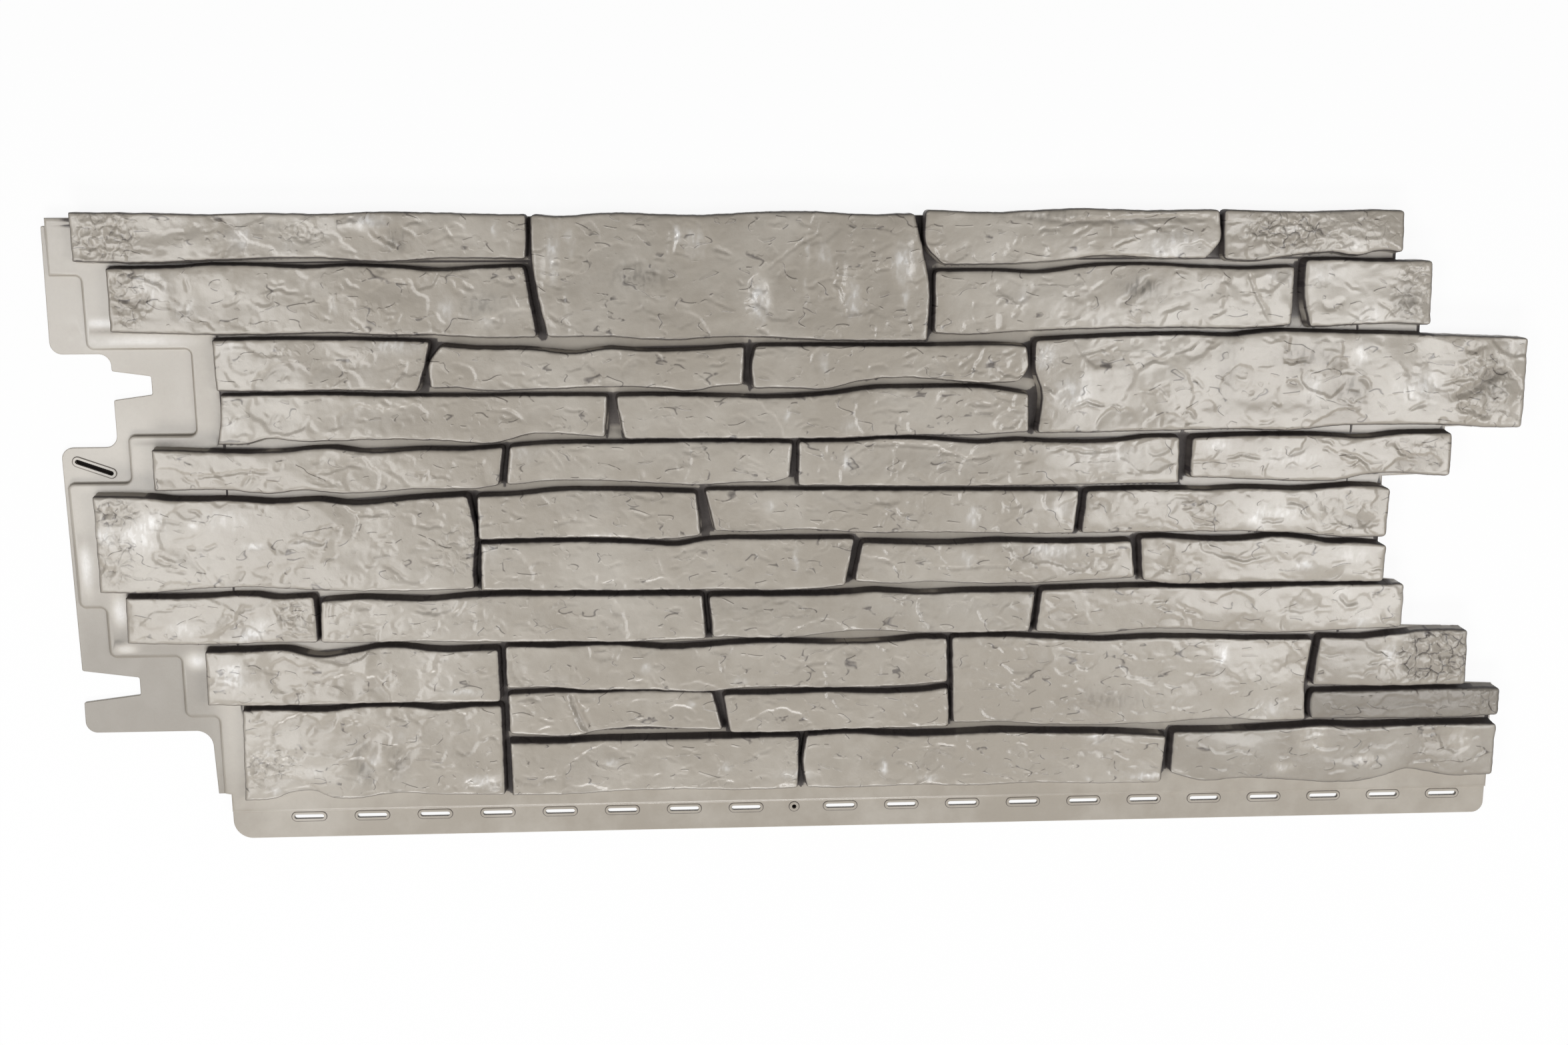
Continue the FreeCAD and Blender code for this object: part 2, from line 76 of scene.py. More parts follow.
class Rise(Enum):
    """How far a stone's face stands above the deck, in millimetres."""

    LOW = 8.5
    SHALLOW = 9.5
    MIDDLE = 10.5
    HIGH = 11.75
    PROUD = 13.0


def cell_number(order: Array, cell_x: Array, cell_y: Array) -> Array:
    """Each cell's number in a shuffled table, so that neighbours have nothing in common."""
    return order[(order[cell_x & (TABLE - 1)] + cell_y) & (TABLE - 1)]


def cells_around(order: Array, x: Array, y: Array) -> Iterator[tuple[Array, Array, Array]]:
    """The nine cells round each point, one after the other.

    Args:
        order: the shuffled table.
        x: positions across, in cells.
        y: positions up, in cells.

    Yields:
        The cell's place across and up, and its number in the table.
    """
    for right in (-1, 0, 1):
        for above in (-1, 0, 1):
            cell_x = np.floor(x).astype(np.int64) + right
            cell_y = np.floor(y).astype(np.int64) + above
            yield cell_x, cell_y, cell_number(order, cell_x, cell_y)


class GradientNoise:
    """Seeded gradient noise over the plane, in about -1 to 1."""

    def __init__(self, seed: int) -> None:
        """Draws the gradients.

        Args:
            seed: the number that fixes the pattern.
        """
        source = np.random.default_rng(seed)
        angle = source.uniform(0.0, 2.0 * math.pi, TABLE)
        self.across = np.cos(angle)
        self.up = np.sin(angle)
        self.order = source.permutation(TABLE)

    def at(self, x: Array, y: Array) -> Array:
        """Each corner of a point's unit cell gives its gradient times the way to the point, and a quintic
        fade blends the four.

        Args:
            x: positions across, in cells.
            y: positions up, in cells.

        Returns:
            The noise at each point.
        """
        cell_x = np.floor(x).astype(np.int64)
        cell_y = np.floor(y).astype(np.int64)
        part_x = x - cell_x
        part_y = y - cell_y

        def corner(right: int, above: int) -> Array:
            """The dot product of one corner's gradient with the way from it."""
            index = cell_number(self.order, cell_x + right, cell_y + above)
            return self.across[index] * (part_x - right) + self.up[index] * (part_y - above)

        fade_x = part_x**3 * (part_x * (part_x * 6.0 - 15.0) + 10.0)
        fade_y = part_y**3 * (part_y * (part_y * 6.0 - 15.0) + 10.0)
        low = corner(0, 0) + fade_x * (corner(1, 0) - corner(0, 0))
        high = corner(0, 1) + fade_x * (corner(1, 1) - corner(0, 1))
        return 1.5 * (low + fade_y * (high - low))

    def layered(self, x: Array, y: Array, layers: int, gain: float = 0.5) -> Array:
        """Sums octaves, each at twice the frequency of the one before and gain times its height.

        Args:
            x: positions across, in cells of the first octave.
            y: positions up, in cells of the first octave.
            layers: the number of octaves.
            gain: the height of an octave as a share of the one before.

        Returns:
            The sum at each point.
        """
        total = np.zeros_like(x)
        for layer in range(layers):
            scale = 2.0**layer
            total = total + gain**layer * self.at(x * scale + 17.3 * layer, y * scale - 9.1 * layer)
        return total


class CellNoise:
    """Seeded cells: how far a point is from the nearest and the second nearest centre."""

    def __init__(self, seed: int) -> None:
        """Draws where each cell's centre lies.

        Args:
            seed: the number that fixes the pattern.
        """
        source = np.random.default_rng(seed)
        self.offset = source.uniform(0.1, 0.9, (TABLE, 2))
        self.order = source.permutation(TABLE)

    def at(self, x: Array, y: Array) -> tuple[Array, Array]:
        """Searches the nine cells round a point.

        Args:
            x: positions across, in cells.
            y: positions up, in cells.

        Returns:
            The nearest and the second nearest distance, in cells.
        """
        nearest = np.full(x.shape, FAR)
        second = np.full(x.shape, FAR)
        for cell_x, cell_y, index in cells_around(self.order, x, y):
            away = np.hypot(cell_x + self.offset[index, 0] - x, cell_y + self.offset[index, 1] - y)
            second = np.minimum(second, np.maximum(nearest, away))
            nearest = np.minimum(nearest, away)
        return nearest, second


def smooth_step(low: float, high: float, value: Array) -> Array:
    """0 below low, 1 above high, and a cubic ramp between."""
    part = np.clip((value - low) / (high - low), 0.0, 1.0)
    return part * part * (3.0 - 2.0 * part)


@dataclass(frozen=True)
class FlakeLayer:
    """How one size of flake is spread: the cell they stand in, radius, depth and how many there are."""

    cell: tuple[float, float]
    radius: tuple[float, float]
    depth: tuple[float, float]
    flatness: float
    share: float
    scarp: float
    seed: int


FLAKES = (
    FlakeLayer((64.0, 34.0), (15.0, 30.0), (0.45, 1.0), 0.46, 0.62, 0.05, 611),
    FlakeLayer((27.0, 17.0), (6.0, 12.5), (0.35, 0.95), 0.52, 0.52, 0.10, 733),
    FlakeLayer((13.0, 9.0), (2.6, 5.4), (0.22, 0.5), 0.60, 0.36, 0.20, 877),
)


class FlakeField:
    """Shallow scars of struck-off flakes: a dish that ends on one side in a short curved scarp."""

    def __init__(self, layer: FlakeLayer) -> None:
        """Draws each cell's flake.

        Args:
            layer: the size and spread of the flakes.
        """
        source = np.random.default_rng(layer.seed)
        self.layer = layer
        self.order = source.permutation(TABLE)
        self.place = source.uniform(0.15, 0.85, (TABLE, 2))
        upward = np.where(source.random(TABLE) < 0.62, 0.5 * math.pi, -0.5 * math.pi)
        spread = source.normal(0.0, 0.42, TABLE)
        self.turn = upward + spread + (source.random(TABLE) < 0.14) * source.normal(0.0, 1.2, TABLE)
        self.radius = source.uniform(*layer.radius, TABLE)
        self.depth = source.uniform(*layer.depth, TABLE) * (source.random(TABLE) < layer.share)

    def at(self, x: Array, y: Array) -> Array:
        """Within an oval round its centre each flake takes off its depth, most at the scarp and nothing at the
        other side, so that the surface drops at once on the scarp and rises slowly away from it. Where flakes
        overlap, the deeper one counts.

        Args:
            x: places along the panel.
            y: places across the panel.

        Returns:
            The height, at most nothing.
        """
        wide, tall = self.layer.cell
        height = np.zeros_like(x)
        for cell_x, cell_y, index in cells_around(self.order, x / wide, y / tall):
            away_x = x - (cell_x + self.place[index, 0]) * wide
            away_y = y - (cell_y + self.place[index, 1]) * tall
            cosine, sine = np.cos(self.turn[index]), np.sin(self.turn[index])
            reach = self.radius[index]
            beside = (away_y * cosine - away_x * sine) / reach
            toward = (away_x * cosine + away_y * sine) / (reach * self.layer.flatness) + 0.45 * beside**2
            span = 1.0 - beside**2
            edge = np.sqrt(np.maximum(span, 0.0))
            scarp = smooth_step(0.0, 1.0, (edge - toward) / self.layer.scarp)
            run = smooth_step(-1.25, 0.9, toward)
            inside = (span > 0.0) * smooth_step(0.0, 0.55, edge)
            height = np.minimum(height, -self.depth[index] * inside * scarp * run)
        return height


@dataclass(frozen=True)
class Crack:
    """A cleft along a line of points, in drawing millimetres, with a lip on one side of it."""

    points: Points
    width: float = 1.1
    depth: float = 0.9
    lip: float = 0.35
    step: float = 0.0


@dataclass(frozen=True)
class Oval:
    """An oval patch of the panel, in drawing millimetres: its centre, half length and half height."""

    across: float
    up: float
    length: float
    height: float

    def share(self, x: Array, y: Array, turn: float = 0.0) -> Array:
        """A bell over the oval, turned by some degrees: the exponential of minus the squared distance,
        measured in the oval's halves."""
        angle = math.radians(turn)
        along = (x - self.across) * math.cos(angle) + (y - self.up) * math.sin(angle)
        beside = (y - self.up) * math.cos(angle) - (x - self.across) * math.sin(angle)
        return np.exp(-1.4 * ((along / self.length) ** 2 + (beside / self.height) ** 2))


@dataclass(frozen=True)
class Swell(Oval):
    """A mound or dent, with its turn in degrees and its height."""

    turn: float
    rise: float


@dataclass(frozen=True)
class Rough(Oval):
    """A patch of crumpled surface, with the size of its crests."""

    strength: float
    cell: float


@dataclass(frozen=True)
class PaintedLight(Oval):
    """A painted highlight, coloured lighter, or painted shade where the strength is negative."""

    strength: float
    turn: float = 0.0


# Painted highlights and painted shade on the stones: ovals coloured lighter as glints, or darker as shade where
# the strength is negative
PAINTED_LIGHTS = tuple(PaintedLight(*row) for row in (
    # Painted shade: darker patches
    (-121, 198, 26, 11, -0.42), (-303, 226, 12, 10, -0.5), (-240, 175, 20, 12, -0.4), (260, 188, 18, 9, -0.6),
    (468, 175, 14, 16, -0.4), (394, 134, 26, 12, -0.35), (428, 108, 14, 16, -0.4), (540, 111, 16, 18, -0.4),
    (187, 242, 34, 4, -0.4), (-346, -180, 10, 22, -0.4), (-320, -178, 10, 18, -0.35),
    (243, -140, 40, 10, -0.25), (-398, 236, 30, 5, -0.3), (505, 236, 46, 6, -0.3), (330, 130, 9, 30, -0.2),
    # Course A
    (-321, 240, 14, 6, 1.0), (-415, 229, 9, 12, 0.7), (-382, 221, 8, 7, 0.4), (-229, 233, 1.5, 5, 0.8),
    (-186, 216, 5, 22, 0.9), (-173, 223, 5, 14, 0.5), (-93, 229, 3.5, 7, 1.0), (-81, 223, 9, 14, 0.6),
    (-31, 179, 7, 16, 1.2), (5, 217, 1.5, 12, 0.6), (17, 212, 6, 12, 0.6), (40, 181, 6, 16, 0.9),
    (78, 208, 9, 16, 1.0), (79, 182, 3, 8, 0.7), (4, 186, 2, 12, 0.5), (276, 216, 14, 10, 0.8),
    (255, 238, 18, 3, 0.5), (289, 224, 18, 9, 0.5), (376, 231, 9, 6, 0.5), (426, 218, 10, 7, 0.5),
    # Course B
    (-481, 192, 16, 14, 0.5), (-460, 175, 12, 9, 0.45), (-350, 177, 1.6, 7, 0.6), (-266, 174, 8, 12, 0.5),
    (-237, 166, 9, 6, 0.5), (170, 182, 3, 7, 0.6), (229, 161, 6, 7, 0.4), (362, 198, 6, 6, 0.5),
    (376, 196, 6, 5, 0.8), (401, 198, 16, 10, 0.4), (442, 165, 12, 9, 0.5),
    # Course C
    (-430, 148, 12, 10, 0.4), (-307, 149, 24, 8, 0.7), (18, 132, 3, 9, 0.6), (187, 136, 10, 12, 0.9),
    (210, 107, 16, 16, 0.8), (434, 137, 7, 12, 0.7), (483, 110, 18, 13, 0.7), (558, 141, 8, 10, 0.5),
    (398, 111, 8, 16, 0.5),
    # Courses D and E
    (-434, 88, 10, 8, 0.4), (-11, 91, 2, 4, 0.7), (38, 83, 10, 8, 0.3), (-210, 65, 14, 9, 0.4),
    (35, 55, 3, 8, 1.0), (238, 58, 28, 8, 0.4), (325, 65, 10, 6, 0.6), (383, 56, 26, 8, 0.4),
    # Course F
    (-530, 4, 8, 9, 0.8), (-505, 4, 16, 11, 0.9), (-494, 17, 12, 7, 0.7), (-464, 11, 3, 3, 0.8),
    (-439, 16, 20, 8, 0.4), (-420, -5, 8, 3, 0.7), (-382, -3, 9, 2.5, 0.7), (-241, -10, 5, 4, 0.7),
    (-153, -1, 14, 2.5, 0.7), (-24, 21, 4, 5, 0.5), (135, 11, 4, 8, 1.1), (203, 16, 9, 6, 0.5),
    (359, 9, 9, 9, 0.8), (380, 11, 16, 8, 0.5),
    # Courses G and H
    (-4, -21, 2, 10, 0.9), (131, -23, 5, 6, 1.1), (198, -16, 18, 7, 0.9), (399, -31, 9, 3, 0.9),
    (436, -25, 16, 8, 0.4), (-425, -73, 18, 7, 0.9, 28.0), (-478, -70, 12, 6, 0.5), (433, -55, 6, 5, 0.5),
    (448, -77, 10, 6, 0.9),
    # Courses I and J
    (-442, -108, 14, 12, 0.9), (338, -105, 6, 16, 0.9), (474, -105, 8, 12, 0.9), (-122, -108, 4, 5, 0.7),
    (-48, -120, 6, 3, 0.7), (-87, -138, 3, 2.5, 0.8), (-266, -124, 14, 2.5, 0.8), (-418, -172, 4, 3, 0.9),
    (-338, -178, 7, 5, 1.0), (-318, -162, 9, 8, 0.5), (381, -149, 14, 9, 0.5),
    # Course K
    (-385, -188, 7, 4, 0.7), (-414, -204, 3.5, 3, 0.9), (-255, -199, 12, 6, 1.0), (-4, -197, 12, 4, 1.0),
    (-60, -189, 4, 5, 0.7), (-151, -184, 5, 3, 0.7), (66, -192, 3, 7, 1.1), (101, -202, 8, 3, 0.8),
    (277, -204, 14, 3, 0.9), (232, -206, 3, 2.5, 0.9), (240, -170, 10, 5, 0.7), (415, -174, 12, 12, 0.7),
    (392, -199, 8, 4, 0.9), (458, -194, 8, 4, 0.8), (534, -179, 12, 10, 0.5),
))

# Painted highlights and painted shade on the flange and the deck's left edge, with a light and a dark band in
# place of the shading of a shallow valley
DECK_PAINTED_LIGHTS = tuple(PaintedLight(*row) for row in (
    (-528, -58, 6, 12, 0.95), (-526, -88, 9, 4, 0.6), (-472, -98, 9, 7, 0.95), (-551, -22, 5, 20, 0.75),
    (-520, 165, 22, 3.5, 0.7), (-520, 159, 22, 2.5, -0.35), (-500, 151, 40, 4.5, 0.5),
    (-485, 74, 26, 2.5, -0.35), (-532, -82, 8, 2.5, -0.3), (-552, -2, 8, 9, -0.2), (-470, 110, 10, 30, 0.08),
))

CRACKS = tuple(Crack(*row) for row in (
    # Course A
    ([(-345, 240), (-338, 243), (-330, 240)], 1.0, 0.9), ([(-296, 237), (-288, 240), (-282, 238)], 1.0, 0.9),
    ([(-30, 198), (-20, 208), (-8, 217), (2, 224), (12, 229), (18, 242)], 1.0, 0.8, 0.3, 0.35),
    ([(-66, 219), (-58, 217), (-52, 213)], 1.2, 1.2), ([(-117, 203), (-111, 201), (-106, 200)], 1.0, 0.9),
    ([(-48, 196), (-45, 193), (-43, 191)], 1.0, 0.9), ([(-33, 160), (-28, 157), (-25, 154)], 1.4, 1.1),
    ([(-140, 206), (-115, 210)], 2.2, 0.5, 0.2), ([(40, 210), (72, 224)], 1.6, 0.4, 0.2),
    ([(27, 214), (29, 200), (26, 192), (31, 189), (32, 180)], 1.2, 0.8, 0.5),
    ([(-95, 238), (-92, 228), (-96, 212)], 1.6, 0.5, 0.6),
    ([(168, 243), (200, 238), (240, 239), (280, 241), (318, 240)], 2.0, 1.6, 0.2, 0.9),
    ([(232, 245), (238, 236), (237, 226)], 1.2, 0.8), ([(95, 223), (103, 222), (106, 225)], 1.0, 0.7),
    ([(340, 236), (348, 228), (360, 230)], 1.0, 0.7),
    # Course B
    ([(-402, 189), (-390, 191), (-382, 188), (-374, 188)], 1.0, 0.8), ([(-254, 191), (-246, 189)], 1.1, 0.9),
    ([(-236, 167), (-228, 165)], 1.1, 0.9), ([(-490, 200), (-478, 196), (-472, 190)], 1.2, 0.8, 0.5),
    ([(342, 203), (350, 184), (356, 174), (363, 160)], 1.1, 0.9, 0.3, 0.3),
    ([(243, 174), (252, 180), (262, 190), (270, 197)], 2.4, 1.2, 0.2, 0.5),
    ([(275, 168), (290, 174), (300, 172)], 1.4, 0.7),
    # Course C
    ([(143, 146), (140, 138), (134, 128), (132, 117)], 1.2, 0.5, 0.5),
    ([(151, 128), (158, 122), (168, 121), (174, 124)], 1.3, 0.8),
    ([(-297, 131), (-303, 126), (-313, 114)], 1.4, 0.9, 0.3, 0.6),
    ([(505, 100), (525, 108), (540, 118), (556, 126)], 3.2, 1.7, 0.6),
    ([(512, 96), (530, 90), (543, 84)], 2.6, 1.2, 0.5),
    ([(417, 151), (418, 120), (414, 82)], 3.0, 0.2, 0.1, 0.5),
    ([(442, 151), (441, 115), (444, 82)], 3.4, 0.2, 0.1, -0.5),
    ([(372, 131), (381, 130), (395, 133)], 1.0, 0.9), ([(262, 128), (272, 133), (284, 130)], 1.0, 0.7),
    ([(210, 98), (222, 101), (236, 97)], 1.0, 0.7),
    # Course D
    ([(60, 97), (75, 95), (85, 96)], 1.0, 0.7), ([(62, 87), (74, 86)], 1.0, 0.6),
    ([(-182, 98), (-170, 97), (-162, 95)], 1.0, 0.6),
    # Course E
    ([(-465, 49), (-445, 50), (-425, 53), (-400, 52)], 1.0, 0.9, 0.3, 0.2),
    ([(-380, 50), (-360, 52), (-345, 57), (-330, 54)], 1.0, 0.9, 0.3, 0.2),
    ([(-375, 48), (-365, 46), (-355, 42)], 1.0, 0.7),
    ([(32, 48), (38, 60), (52, 68), (72, 69), (88, 67), (105, 66), (113, 62), (122, 60), (130, 56), (145, 59),
     (165, 63)], 1.1, 1.0, 0.3, 0.45),
    ([(190, 62), (205, 64), (222, 61), (250, 63)], 1.0, 0.8, 0.3, 0.2),
    ([(-92, 66), (-85, 63), (-78, 61)], 1.1, 0.9), ([(330, 55), (345, 58), (362, 55)], 1.0, 0.7),
    ([(420, 60), (438, 55), (450, 47)], 1.3, 0.8, 0.5), ([(465, 68), (472, 58), (486, 54)], 1.3, 0.9, 0.5),
    # Course F
    ([(-492, -10), (-478, -16)], 1.0, 0.8), ([(-494, -16), (-476, -21)], 1.0, 0.8),
    ([(-488, -22), (-470, -25)], 1.0, 0.8), ([(-322, -20), (-314, -25), (-305, -33)], 1.1, 1.0),
    ([(-295, -16), (-284, -20), (-274, -23), (-265, -30)], 1.2, 1.1),
    ([(-395, -3), (-380, 0), (-368, -4), (-362, 2)], 1.2, 0.9, 0.5),
    ([(-345, 20), (-330, 18), (-316, 21)], 1.0, 0.7), ([(-300, 12), (-288, 8), (-275, 10)], 1.1, 0.8),
    ([(-130, 19), (-122, 14), (-112, 16)], 1.1, 0.8), ([(56, 23), (66, 22), (74, 21)], 1.2, 0.9),
    ([(168, 26), (174, 18), (172, 10), (166, 8)], 1.1, 0.8, 0.4),
    ([(380, 22), (395, 18), (402, 8)], 1.3, 0.8, 0.5),
    # Courses G and H
    ([(60, -20), (72, -26), (80, -34)], 1.2, 0.8, 0.4),
    ([(96, -27), (120, -30), (150, -28), (175, -31)], 1.0, 0.8, 0.3, 0.2),
    ([(330, -20), (350, -26), (372, -22)], 1.1, 0.8, 0.4),
    ([(-408, -54), (-402, -62), (-392, -68)], 1.1, 0.9, 0.4),
    ([(-430, -50), (-437, -62), (-442, -72)], 1.2, 0.6, 0.5),
    ([(-345, -68), (-334, -70), (-326, -69)], 1.0, 0.8), ([(-302, -56), (-290, -60), (-280, -61)], 1.0, 0.8),
    ([(430, -56), (437, -64), (446, -62)], 1.2, 0.8, 0.5),
    # Course I
    ([(-280, -93), (-286, -100), (-284, -106), (-292, -111)], 1.4, 0.6, 0.6),
    ([(206, -95), (220, -99), (236, -100)], 1.0, 0.9), ([(306, -118), (322, -120), (336, -117)], 1.0, 0.6),
    ([(0, -108), (16, -104), (30, -107)], 1.2, 0.6, 0.5),
    # Course J
    ([(-183, -124), (-179, -136), (-174, -148), (-168, -162)], 3.0, 2.6, 0.4),
    ([(-228, -134), (-215, -130), (-205, -134)], 1.4, 0.9),
    ([(480, -150), (500, -147), (520, -150)], 1.0, 0.7, 0.4),
    # Course K
    ([(340, -186), (352, -182), (366, -186)], 1.1, 0.8, 0.4),
    ([(414, -178), (425, -184), (440, -182)], 1.1, 0.7, 0.4),
    ([(492, -203), (500, -196), (514, -194), (527, -204)], 1.6, 0.9, 0.4),
))

SWELLS = tuple(Swell(*row) for row in (
    # Stone A1: pitted patch and a bright facet
    (-370, 231, 22, 10, 10, -1.0), (-325, 238, 13, 6, -8, 1.3), (-346, 226, 16, 8, 20, 0.7),
    (-455, 226, 24, 9, 5, 0.9), (-250, 226, 20, 9, -10, -0.7),
    # Stone A2: upright folds and the glossy scallop
    (-190, 208, 5, 26, -4, 1.1), (-180, 184, 4, 24, 4, -0.7), (-96, 222, 6, 24, 3, 0.8),
    (-70, 214, 9, 16, 0, -0.6), (-31, 180, 8, 22, -3, -1.7), (-44, 186, 6, 20, -6, 0.7),
    (-18, 176, 7, 24, 2, 0.5), (29, 196, 5, 26, -6, 1.0), (12, 205, 8, 18, 0, -0.6), (79, 210, 7, 22, 6, 1.2),
    (62, 206, 8, 22, 0, -0.5), (-140, 186, 34, 14, -8, -0.8), (-60, 166, 18, 5, 14, 0.5),
    # Courses A3 to B3
    (142, 228, 26, 12, 0, 0.6), (214, 226, 22, 10, 6, -0.7), (286, 224, 20, 10, -6, 0.6),
    (-475, 186, 10, 16, 8, 1.1), (-444, 184, 12, 14, -6, -0.8), (-372, 176, 26, 10, 5, 0.6),
    (-300, 190, 30, 9, -5, -0.6), (160, 180, 26, 12, -5, 0.6), (330, 182, 8, 18, 8, 0.9),
    (366, 186, 8, 16, 0, 0.8), (475, 180, 9, 16, 0, 0.9),
    # Course C
    (216, 118, 12, 28, -8, 1.0), (252, 104, 20, 20, 0, -0.9), (300, 128, 28, 14, 8, 0.7),
    (350, 104, 28, 14, -8, -0.8), (400, 112, 14, 30, 0, 0.5), (465, 116, 10, 30, 0, 0.9),
    (492, 110, 10, 26, 6, -1.0), (526, 132, 16, 8, 30, 1.1), (552, 100, 9, 16, -10, 1.0),
    (-340, 134, 26, 10, -6, -0.6),
    # Courses E and F
    (-468, 56, 14, 9, 0, 0.8), (-512, 10, 16, 18, 20, 1.0), (-470, -6, 26, 14, 26, -1.1),
    (-430, 16, 24, 9, 4, 0.7), (-408, -14, 34, 8, 6, 0.8), (-352, -10, 22, 12, -8, -0.9),
    (-300, 18, 26, 7, 0, 0.6), (-276, -30, 16, 8, -30, 0.8), (-165, 12, 26, 11, 0, 0.6),
    (322, 14, 26, 11, 0, 0.7), (404, 14, 10, 14, 20, 0.9), (440, 12, 10, 14, -10, 0.8),
    (300, -25, 12, 14, 10, 0.8),
    # Courses H to K
    (-455, -70, 12, 6, 30, 1.0), (-430, -60, 9, 12, 20, -0.8), (-500, -62, 14, 9, 0, 0.7),
    (-440, -106, 18, 14, 0, 1.0), (-408, -110, 10, 16, 20, -0.9), (-340, -106, 6, 16, -6, 1.1),
    (-316, -112, 14, 12, 0, 0.5), (-352, -118, 8, 10, 0, -0.7), (190, -120, 10, 30, 0, 0.5),
    (250, -126, 34, 22, 0, -0.7), (350, -128, 34, 20, 0, 0.6), (-345, -180, 8, 17, -32, -2.2),
    (-332, -170, 7, 16, -32, 1.3), (-316, -176, 7, 17, -32, -1.9), (-300, -168, 9, 15, -28, 0.9),
    (-416, -181, 18, 12, 0, -0.8), (-270, -190, 16, 13, 20, 0.7), (-392, -205, 16, 6, 4, -1.9),
    (-248, -202, 12, 8, 14, -1.4), (-205, -146, 18, 9, 0, 0.7), (-30, -180, 8, 16, -14, 0.7),
    (150, -186, 30, 12, 0, -0.6), (230, -186, 12, 16, 10, 0.7), (350, -190, 26, 12, 6, 0.7),
    (508, -204, 17, 7, 0, -1.8), (306, -206, 9, 5, -30, -1.8),
))

ROUGH = tuple(Rough(*row) for row in (
    (-514, 230, 26, 22, 1.0, 5.5), (-500, 184, 15, 24, 1.0, 6.5), (-522, 22, 20, 12, 1.3, 4.5),
    (-524, -14, 16, 24, 0.9, 6.5), (395, 230, 72, 20, 0.55, 6.0), (372, 231, 34, 16, 1.3, 5.0),
    (472, 184, 16, 26, 0.9, 6.0), (512, -108, 34, 24, 1.7, 7.0), (556, -148, 12, 12, 0.9, 5.0),
    (532, 110, 26, 30, 0.8, 10.0), (-418, -180, 22, 16, 0.9, 6.0), (-370, 231, 18, 9, 0.9, 4.0),
    (-392, -62, 16, 14, 0.8, 6.0), (488, 55, 22, 16, 0.6, 9.0), (-265, -10, 16, 22, 0.7, 8.0),
    (430, 10, 30, 18, 0.5, 9.0), (-8, -190, 9, 22, 0.6, 6.0),
))


